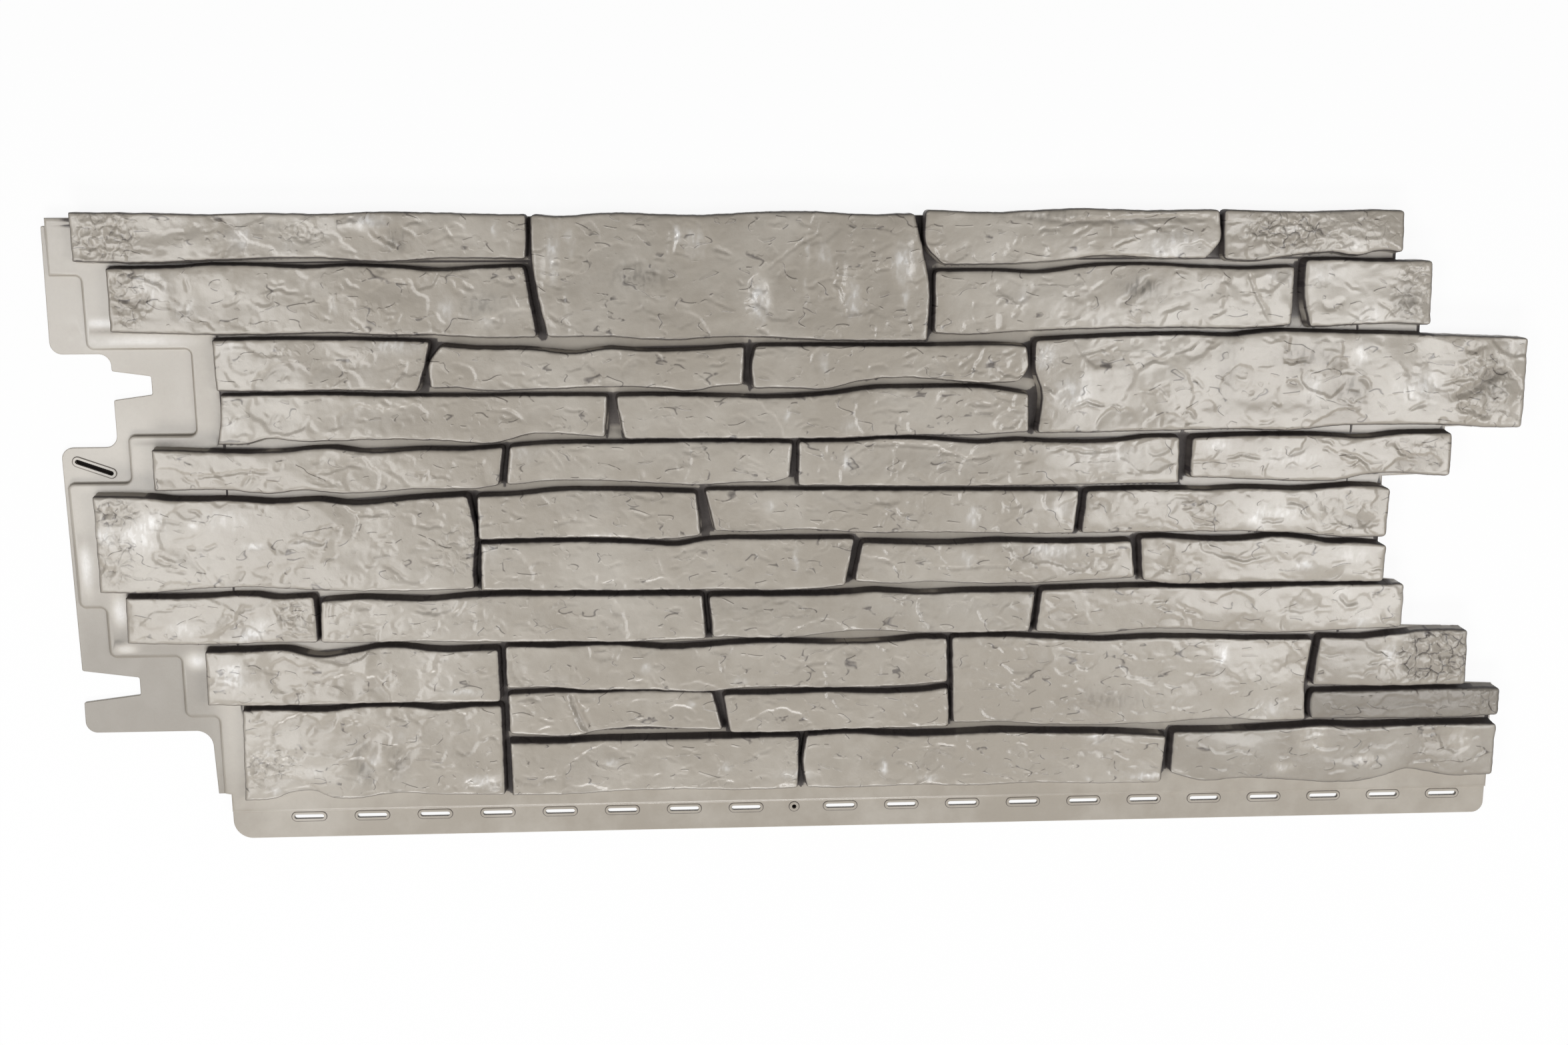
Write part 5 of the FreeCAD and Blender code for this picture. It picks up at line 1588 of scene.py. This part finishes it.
    @staticmethod
    def shell(plan: Array, faces: Array, solid: Array) -> tuple[Array, Array]:
        """The faces between what is solid and what is empty, with the vertices of each level numbered on.

        Args:
            plan: the points of the plan.
            faces: its triangles.
            solid: which of them are solid in each slab.

        Returns:
            The upright faces and the level ones.
        """
        above = np.concatenate([solid, np.zeros((1, len(faces)), bool)])
        below = np.concatenate([np.zeros((1, len(faces)), bool), solid])
        number = len(plan)
        level_faces = []
        for layer in range(len(above)):
            level_faces.append(faces[below[layer] & ~above[layer]] + layer * number)
            level_faces.append(faces[above[layer] & ~below[layer]][:, ::-1] + layer * number)
        sides = np.concatenate([faces[:, [0, 1]], faces[:, [1, 2]], faces[:, [2, 0]]])
        owner = np.tile(np.arange(len(faces)), 3)
        key = sides.min(1).astype(np.int64) * number + sides.max(1)
        order = np.argsort(key, kind="stable")
        paired = key[order][:-1] == key[order][1:]
        other = np.full(len(sides), -1)
        other[order[:-1][paired]] = owner[order[1:][paired]]
        other[order[1:][paired]] = owner[order[:-1][paired]]
        upright = []
        for layer, slab in enumerate(solid):
            start, finish = sides[slab[owner] & ~((other >= 0) & slab[other])].T
            low, high = layer * number, (layer + 1) * number
            upright.append(np.stack([start + low, finish + low, finish + high, start + high], -1))
        return np.concatenate(upright), np.concatenate(level_faces)

    def depths(self, places: Array, outlines: Outlines) -> Array:
        """Painted shade on each vertex: between the stones, at the foot of the stepped left
        edge, at the upper edge of the openings and along their rims.

        Args:
            places: the vertices.
            outlines: the outlines.

        Returns:
            The values, from 0 to 1.
        """
        deck = outlines["deck"][0]
        plan, height = places[:, :2], places[:, 2]
        hollow = np.zeros(len(places))
        top = height > LAP_LEVEL
        hollow[top] = self.joint_share(plan[top])[1]
        hollow *= inside_loop(moved_loop(deck, -0.5), plan)
        at_foot = within(height, self.foot_band) & (loop_distance(deck, plan) < 0.3)
        hollow[at_foot & (plan[:, 0] < self.foot_end)] = self.foot_painted_shade
        hollow[on_any(outlines["slots"], plan) & within(height, self.bore_band)] = 1.0
        hollow[on_any(outlines["rims"], plan) & within(height, self.rim_band)] = self.rim_painted_shade
        return hollow

    def tones(self, places: Array) -> Array:
        """How much lighter than the rest each place of the flange and the deck is painted: darker towards the
        near end of the flange and lighter towards its far end, as painted shade and painted light, and bells
        over the listed ovals: painted highlights on the flange and painted light and shade bands along the
        deck's left edge."""
        x, y = places[:, 0], places[:, 1]
        flange = 1.0 - smooth_step(-470.0, -445.0, x)
        tone = -0.26 * smooth_step(10.0, -95.0, y) * flange + 0.10 * smooth_step(110.0, 180.0, y) * flange
        for sheen in DECK_PAINTED_LIGHTS:
            tone = tone + sheen.strength * sheen.share(x, y, sheen.turn)
        return tone

    def flange_points(self) -> Array:
        """Extra points for the plan, on a grid over the flange."""
        across = np.arange(-562.0, -456.0, self.flange_spacing)
        up = np.arange(-152.0, 234.0, self.flange_spacing)
        grid = np.stack(np.meshgrid(across, up), -1).reshape(-1, 2)
        sheet, deck = self.sheet_loop(), self.deck_loop()
        grid = grid[inside_loop(sheet, grid) & ~inside_loop(deck, grid)]
        away = np.minimum(loop_distance(sheet, grid), loop_distance(deck, grid))
        rim = self.slanted_loop(2.0 * self.rim_margin)
        return grid[(away > self.clear) & ~inside_loop(moved_loop(rim, 2.0), grid)]

    @staticmethod
    def anticlockwise(plan: Array, faces: Array) -> Array:
        """The triangles, each turned so that it runs anticlockwise seen from above."""
        first, second, third = plan[faces].transpose(1, 0, 2)
        one, two = second - first, third - first
        area = one[:, 0] * two[:, 1] - one[:, 1] * two[:, 0]
        return np.where((area < 0)[:, None], faces[:, ::-1], faces)

    def eased(self, spots: Array, heights: Array, outlines: Outlines) -> Array:
        """Rounds the deck's crest and foot and the rims' outer edges.

        The crest falls by a quarter round over its radius inside the deck's outline, the foot rises by one
        over its radius outside it, and what lies between on the outline itself is spread between the two.

        Args:
            spots: the vertices' places in plan.
            heights: their heights.
            outlines: the outlines.

        Returns:
            The eased heights.
        """
        deck = outlines["deck"][0]
        away = loop_distance(deck, spots)
        inside = inside_loop(deck, spots)
        on_line = away < ON_LINE
        crest = (heights == DECK_TOP) & (inside | on_line) & (away < self.crest_round)
        share = np.clip(1.0 - away / self.crest_round, 0.0, 1.0)
        result = np.where(crest, DECK_TOP - self.crest_round * (1.0 - np.sqrt(1.0 - share**2)), heights)
        foot = (heights == SHEET_TOP) & (~inside | on_line) & (away < self.foot_round)
        share = np.clip(1.0 - away / self.foot_round, 0.0, 1.0)
        result = np.where(foot, SHEET_TOP + self.foot_round * (1.0 - np.sqrt(1.0 - share**2)), result)
        between = on_line & (heights > SHEET_TOP) & (heights < DECK_TOP)
        low, high = SHEET_TOP + self.foot_round, DECK_TOP - self.crest_round
        result = np.where(between, low + (heights - SHEET_TOP) / (DECK_TOP - SHEET_TOP) * (high - low), result)
        on_rim = on_any(outlines["rims"], spots)
        result = np.where(on_rim & (heights == RIM_TOP), SHEET_TOP + 0.08, result)
        result = np.where(on_rim & (heights == LAP_LEVEL), SHEET_TOP + 0.04, result)
        on_sheet = (heights == SHEET_TOP) & (loop_distance(outlines["sheet"][0], spots) < ON_LINE)
        return np.where(on_sheet & ~on_line, SHEET_TOP - 0.35, result)


class NodeValue:
    """A shader socket that adds, multiplies and compares like a number."""

    def __init__(self, shader: "Shader", socket: bpy.types.NodeSocket) -> None:
        """Wraps the socket.

        Args:
            shader: the material that the socket belongs to.
            socket: the output socket.
        """
        self.shader = shader
        self.socket = socket

    def __add__(self, other: object) -> "NodeValue":
        """The sum."""
        return self.shader.maths("ADD", self, other)

    def __radd__(self, other: object) -> "NodeValue":
        """The sum."""
        return self.shader.maths("ADD", other, self)

    def __sub__(self, other: object) -> "NodeValue":
        """The difference."""
        return self.shader.maths("SUBTRACT", self, other)

    def __rsub__(self, other: object) -> "NodeValue":
        """The difference."""
        return self.shader.maths("SUBTRACT", other, self)

    def __mul__(self, other: object) -> "NodeValue":
        """The product."""
        return self.shader.maths("MULTIPLY", self, other)

    def __rmul__(self, other: object) -> "NodeValue":
        """The product."""
        return self.shader.maths("MULTIPLY", other, self)

    def clamped(self) -> "NodeValue":
        """The value held between 0 and 1."""
        return self.shader.maths("MAXIMUM", self.shader.maths("MINIMUM", self, 1.0), 0.0)


class Shader:
    """A material's node tree, with one method that makes any node."""

    def __init__(self, name: str) -> None:
        """Makes an empty material.

        Args:
            name: the material's name.
        """
        self.material = bpy.data.materials.new(name)
        self.material.use_nodes = True
        self.tree = self.material.node_tree
        self.tree.nodes.clear()

    def node(self, kind: str, settings: Optional[dict] = None, sockets: Optional[dict] = None,
             output: object = 0) -> NodeValue:
        """Adds a node.

        Args:
            kind: the node's type.
            settings: its properties, set before its sockets.
            sockets: the values or links of its inputs, by name or number.
            output: the output that is wanted, by name or number.

        Returns:
            That output.
        """
        node = self.tree.nodes.new(kind)
        for name, value in (settings or {}).items():
            setattr(node, name, value)
        for name, value in (sockets or {}).items():
            if isinstance(value, NodeValue):
                self.tree.links.new(value.socket, node.inputs[name])
            else:
                node.inputs[name].default_value = value
        return NodeValue(self, node.outputs[output] if len(node.outputs) else None)

    def maths(self, operation: str, first: object, second: object) -> NodeValue:
        """A Math node on two values or links."""
        return self.node("ShaderNodeMath", {"operation": operation}, {0: first, 1: second})

    def mix(self, factor: object, first: object, second: object) -> NodeValue:
        """A Mix node on two colours."""
        return self.node("ShaderNodeMix", {"data_type": "RGBA"}, {0: factor, 6: first, 7: second}, 2)

    def vector(self, operation: str, sockets: dict, output: object = 0) -> NodeValue:
        """A Vector Math node."""
        return self.node("ShaderNodeVectorMath", {"operation": operation}, sockets, output)

    def attribute(self, name: str) -> NodeValue:
        """A value that the mesh carries."""
        return self.node("ShaderNodeAttribute", {"attribute_name": name}, {}, "Fac")

    def noise(self, place: NodeValue, scale: float, detail: float, roughness: float = 0.5,
              output: str = "Fac") -> NodeValue:
        """A noise over the piece's plan."""
        sockets = {"Vector": place, "Scale": scale, "Detail": detail, "Roughness": roughness}
        return self.node("ShaderNodeTexNoise", {"noise_dimensions": "2D"}, sockets, output)

    def pushed(self, place: NodeValue, scale: float, detail: float, reach: float) -> NodeValue:
        """The place, pushed about by a noise over up to the reach, in metres."""
        push = self.noise(place, scale, detail, output="Color")
        return self.vector("MULTIPLY_ADD", {0: push, 1: (reach, reach, reach), 2: place})

    def cells(self, place: NodeValue, scale: float, feature: str) -> NodeValue:
        """A distance in a pattern of cells over the piece's plan."""
        settings = {"feature": feature, "voronoi_dimensions": "2D"}
        return self.node("ShaderNodeTexVoronoi", settings, {"Vector": place, "Scale": scale}, "Distance")


@dataclass(frozen=True)
class MouldedPlastic:
    """Warm grey-beige plastic with a satin skin, mottled and finely grained, with painted highlights and with
    painted shade, near black, in the joints and creases.
    """

    name: str = "moulded_plastic"
    body: Colour = (0.365, 0.327, 0.276, 1.0)
    pale: Colour = (0.470, 0.434, 0.381, 1.0)
    painted_highlight_colour: Colour = (0.79, 0.78, 0.765, 1.0)
    painted_shade_colour: Colour = (0.043, 0.034, 0.034, 1.0)
    roughness: float = 0.40
    coat: float = 0.55
    coat_roughness: float = 0.17
    grain: float = 0.0009

    def make(self) -> bpy.types.Material:
        """Builds the material.

        Fine strokes follow the level lines of a noise that is drawn out along the panel, each broken into
        short lengths by a second noise. The surface steps down across a stroke.

        Returns:
            The material.
        """
        shader = Shader(self.name)
        place = shader.node("ShaderNodeTexCoord", {}, {}, "Object")
        tone = shader.attribute("tone")
        cleft = shader.attribute("cleft")
        clouds = shader.noise(place, 9.0, 3.0)
        spots = shader.noise(place, 60.0, 3.0, 0.6)
        specks = shader.noise(place, 420.0, 2.0, 0.6)
        hollow = shader.attribute("hollow")
        pale = ((clouds - 0.42) * 2.2 + (spots - 0.5) * 0.8).clamped()
        colour = shader.mix(pale, self.body, self.pale)
        # A negative tone, which holds painted shade as well as each stone's tone, darkens the colour
        tone_and_shade_scale = shader.maths("MINIMUM", tone, 0.0) + 1.0
        colour = shader.vector("SCALE", {0: colour, "Scale": tone_and_shade_scale})
        # Painted highlight: where the tone is positive the colour goes towards near white
        sheen = (tone * (0.70 + (spots - 0.5) * 1.1)).clamped()
        colour = shader.mix(sheen, colour, self.painted_highlight_colour)
        grained = cleft.clamped()
        stroke, ledge = self.strokes(shader, place, grained)
        # Painted shade: near black in the joints, along the borders, in the strokes and in the crackle
        painted_shade_line = ((hollow - 0.42) * 5.5).clamped()
        crack, blocks = self.crackle(shader, place, cleft)
        drawn = hollow * 0.30 + painted_shade_line * 0.64 + stroke * 0.72 + crack * 0.85
        shade = (drawn + (specks - 0.5) * 0.10).clamped()
        colour = shader.mix(shade, colour, self.painted_shade_colour)
        roughness = self.roughness + (spots - 0.5) * 0.18 + (clouds - 0.5) * 0.14 + hollow * 0.3 - sheen * 0.3
        chips = self.chips(shader, place, grained)
        ripples = shader.noise(place, 190.0, 3.0, 0.55)
        pits = shader.noise(place, 900.0, 2.0, 0.55)
        relief = ledge * 0.62 + chips * 0.30 + blocks + ripples * (grained * 0.22 + 0.04) + pits * 0.05
        bump = shader.node("ShaderNodeBump", {}, {"Strength": 0.8, "Distance": self.grain, "Height": relief})
        coat = (self.coat + (tone_and_shade_scale - 1.0) * 1.3 - hollow * 0.6).clamped()
        sockets = {"Base Color": colour, "Roughness": roughness, "Normal": bump, "IOR": 1.5,
                   "Coat Weight": coat, "Coat Roughness": self.coat_roughness}
        skin = shader.node("ShaderNodeBsdfPrincipled", {}, sockets)
        shader.node("ShaderNodeOutputMaterial", {}, {"Surface": skin})
        return shader.material

    @staticmethod
    def crackle(shader: Shader, place: NodeValue, cleft: NodeValue) -> tuple[NodeValue, NodeValue]:
        """Small blocks with painted shade, dark, in the clefts between them where the grain is crackled.

        Args:
            shader: the material.
            place: the place on the piece, in metres.
            cleft: 2 where the grain is crackled, 1 or less where it isn't.

        Returns:
            How much painted shade each place gets, from 0 to 1, and how high it stands.
        """
        rough = (cleft - 1.0).clamped()
        edge = shader.cells(shader.pushed(place, 95.0, 3.0, 0.009), 108.0, "DISTANCE_TO_EDGE")
        broken = ((shader.noise(place, 120.0, 2.0, 0.5) - 0.62 + rough * 0.22) * 9.0).clamped()
        line = (1.0 - edge * 11.0).clamped() * broken * rough
        domed = (edge * 5.0).clamped() * rough
        return line, domed * 0.9

    @staticmethod
    def chips(shader: Shader, place: NodeValue, cleft: NodeValue) -> NodeValue:
        """Small scoops with sharp crests, in patches.

        Args:
            shader: the material.
            place: the place on the piece, in metres.
            cleft: where there are scoops at all.

        Returns:
            The height.
        """
        drawn = shader.vector("MULTIPLY", {0: shader.pushed(place, 75.0, 2.0, 0.011), 1: (0.6, 1.0, 0.4)})
        scoops = shader.cells(drawn, 120.0, "F1")
        patches = shader.noise(place, 30.0, 2.0, 0.5)
        kept = ((patches - 0.50) * 7.0).clamped() * cleft
        return scoops * kept

    @staticmethod
    def strokes(shader: Shader, place: NodeValue, cleft: NodeValue) -> tuple[NodeValue, NodeValue]:
        """Short curved strokes.

        Args:
            shader: the material.
            place: the place on the piece, in metres.
            cleft: where there are strokes at all.

        Returns:
            How much painted shade each place gets along a stroke, from 0 to 1, and how high it stands beside a
            stroke.
        """
        drawn = shader.vector("MULTIPLY", {0: place, 1: (0.42, 1.0, 0.3)})
        field_value = shader.noise(drawn, 66.0, 1.0, 0.4)
        broken = shader.noise(place, 88.0, 2.0, 0.5)
        kept = ((broken - 0.515) * 14.0).clamped() * cleft
        distance = shader.maths("ABSOLUTE", field_value - 0.5, 0.0)
        line = (1.0 - distance * 70.0).clamped() * kept
        side = ((field_value - 0.5) * 26.0 + 0.5).clamped()
        fade = (1.0 - distance * 9.0).clamped()
        return line, side * fade * kept


@dataclass(frozen=True)
class StudioFloor:
    """A plain white floor that the camera sees near white, with a soft shadow left on it.

    The flange and the strip cover two small spots of painted shadow, near black, so that the slanted slot and
    the pilot bore look into the dark.
    """

    name: str = "studio_floor"
    colour: Colour = (0.86, 0.86, 0.86, 1.0)
    shadow: Colour = (0.02, 0.017, 0.016, 1.0)
    pilot_margin: float = 0.0055
    slot_squeeze: float = 0.75
    dark_reach: float = 0.0125
    dark_edge: float = 600.0
    white_share: float = 0.92

    def make(self) -> bpy.types.Material:
        """Builds the material.

        Returns:
            The material.
        """
        shader = Shader(self.name)
        path = self.seen_directly(shader)
        place = shader.node("ShaderNodeTexCoord", {}, {}, "Object")
        deck = DeckPlan()
        squeeze = (self.slot_squeeze, 1.0, 0.0)
        slot = (np.array(deck.slanted_place) + DRAWING_SHIFT) * MM * squeeze[:2]
        pilot = (np.array([deck.pilot_place, deck.slot_line]) + DRAWING_SHIFT) * MM
        oval = shader.vector("MULTIPLY", {0: place, 1: squeeze})
        away = shader.vector("DISTANCE", {0: oval, 1: (*slot, 0.0)}, "Value")
        beside = shader.vector("DISTANCE", {0: place, 1: (*pilot, 0.0)}, "Value")
        nearer = shader.maths("MINIMUM", away, beside + self.pilot_margin)
        # Painted shadow: near black spots under the slanted slot and the pilot bore, kept out of the camera's
        # white
        lit = ((nearer - self.dark_reach) * self.dark_edge).clamped()
        colour = shader.mix(lit, self.shadow, self.colour)
        matt = shader.node("ShaderNodeBsdfDiffuse", {}, {"Color": colour})
        white = shader.node("ShaderNodeEmission", {}, {"Color": (1.0, 1.0, 1.0, 1.0), "Strength": 1.0})
        mixed = shader.node("ShaderNodeMixShader", {}, {0: path * lit * self.white_share, 1: matt, 2: white})
        shader.node("ShaderNodeOutputMaterial", {}, {"Surface": mixed})
        return shader.material

    @staticmethod
    def seen_directly(shader: Shader) -> NodeValue:
        """1 for rays from the camera and for mirrored or passing ones, and 0 for the rest."""
        kinds = ("Is Camera Ray", "Is Glossy Ray", "Is Transmission Ray")
        camera, glossy, passing = (shader.node("ShaderNodeLightPath", {}, {}, kind) for kind in kinds)
        return (camera + glossy + passing).clamped()


@dataclass
class Studio:
    """The floor, the lamps, the sky and the camera."""

    lens: float = 38.265
    eye: Triple = (-77.191, 257.277, 1285.597)
    to_right: Triple = (0.998707, -0.002641, 0.050767)
    to_down: Triple = (-0.012348, -0.981343, 0.191870)
    to_front: Triple = (0.049313, -0.192248, -0.980106)
    sky: float = 0.22
    floor_size: float = 9.0
    floor_drop: float = 0.0002

    def build(self) -> None:
        """Makes the camera, the lamps, the sky and the floor."""
        self.camera()
        self.lamp("key", (-0.3, -3.1, 2.2), (0.0, 0.1, 0.0), (2.2, 0.9), 74.0)
        self.lamp("left_sheen", (-0.98, -0.20, 1.29), (-0.45, 0.0, 0.0), (0.95, 0.60), 10.5)
        self.lamp("right_sheen", (0.90, -0.15, 1.29), (0.42, 0.0, 0.0), (0.55, 0.70), 9.5)
        self.heaven()
        self.floor()

    def camera(self) -> None:
        """Stands the camera where the photograph was taken from, by the fitted axes."""
        data = bpy.data.cameras.new("camera")
        data.sensor_fit = "HORIZONTAL"
        data.sensor_width = 36.0
        data.lens = self.lens
        data.clip_start = 0.01
        data.clip_end = 50.0
        camera = bpy.data.objects.new("camera", data)
        bpy.context.scene.collection.objects.link(camera)
        down, front = ([-part for part in way] for way in (self.to_down, self.to_front))
        axes = Matrix((self.to_right, down, front)).transposed()
        place = np.array(self.eye)
        place[:2] += DRAWING_SHIFT
        camera.matrix_world = Matrix.Translation(Vector(place * MM)) @ axes.to_4x4()
        bpy.context.scene.camera = camera

    @staticmethod
    def lamp(name: str, place: Triple, target: Triple,
             size: tuple[float, float], power: float) -> None:
        """A rectangular soft lamp that faces a target.

        Args:
            name: the lamp's name.
            place: where it hangs, in metres.
            target: the point that it faces.
            size: its length and width in metres.
            power: its power in watts.
        """
        data = bpy.data.lights.new(name, "AREA")
        data.shape = "RECTANGLE"
        data.size, data.size_y = size
        data.energy = power
        lamp = bpy.data.objects.new(name, data)
        lamp.location = place
        lamp.rotation_euler = (Vector(target) - Vector(place)).to_track_quat("-Z", "Y").to_euler()
        bpy.context.scene.collection.objects.link(lamp)

    def heaven(self) -> None:
        """A plain grey sky that the camera sees as white."""
        world = bpy.data.worlds.new("studio")
        world.use_nodes = True
        tree = world.node_tree
        tree.nodes.clear()
        path = tree.nodes.new("ShaderNodeLightPath")
        dim = tree.nodes.new("ShaderNodeBackground")
        dim.inputs["Strength"].default_value = self.sky
        white = tree.nodes.new("ShaderNodeBackground")
        white.inputs["Color"].default_value = (1.0, 1.0, 1.0, 1.0)
        mixed = tree.nodes.new("ShaderNodeMixShader")
        out = tree.nodes.new("ShaderNodeOutputWorld")
        tree.links.new(path.outputs["Is Camera Ray"], mixed.inputs[0])
        tree.links.new(dim.outputs[0], mixed.inputs[1])
        tree.links.new(white.outputs[0], mixed.inputs[2])
        tree.links.new(mixed.outputs[0], out.inputs["Surface"])
        bpy.context.scene.world = world

    def floor(self) -> None:
        """A wide flat floor just under the panel."""
        half = 0.5 * self.floor_size
        mesh = bpy.data.meshes.new("floor")
        corners = [(x * half, y * half, -self.floor_drop) for x, y in ((-1, -1), (1, -1), (1, 1), (-1, 1))]
        mesh.from_pydata(corners, [], [(0, 1, 2, 3)])
        mesh.materials.append(StudioFloor().make())
        floor = bpy.data.objects.new("floor", mesh)
        bpy.context.scene.collection.objects.link(floor)


@dataclass
class ReliefFace:
    """The stones, gathered into one piece for each course."""

    relief: SlateRelief = field(default_factory=SlateRelief)

    def build(self, deck: DeckPlan) -> list[bpy.types.Object]:
        """Makes the courses.

        Args:
            deck: the deck that the stones stand on.

        Returns:
            One object for each course.
        """
        pieces = []
        for course in sorted({stone.name[0] for stone in STONES}):
            parts = MeshParts()
            for stone in STONES:
                if stone.name[0] == course:
                    stone.build(self.relief, parts, deck)
            pieces.append(parts.finish("stones_course_" + course, 70.0))
        return pieces


def main() -> None:
    """Builds the panel and the studio, and reports each piece."""
    logging.basicConfig(level=logging.INFO)
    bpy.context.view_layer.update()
    bpy.context.scene.view_settings.view_transform = "Standard"
    plastic = MouldedPlastic().make()
    deck = DeckPlan()
    carrier = deck.build()
    pieces = [carrier] + ReliefFace().build(deck)
    for piece in pieces:
        piece.data.materials.append(plastic)
        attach(piece, "root")
    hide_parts("siding_panel")
    Studio().build()


if __name__ == "__main__":
    main()
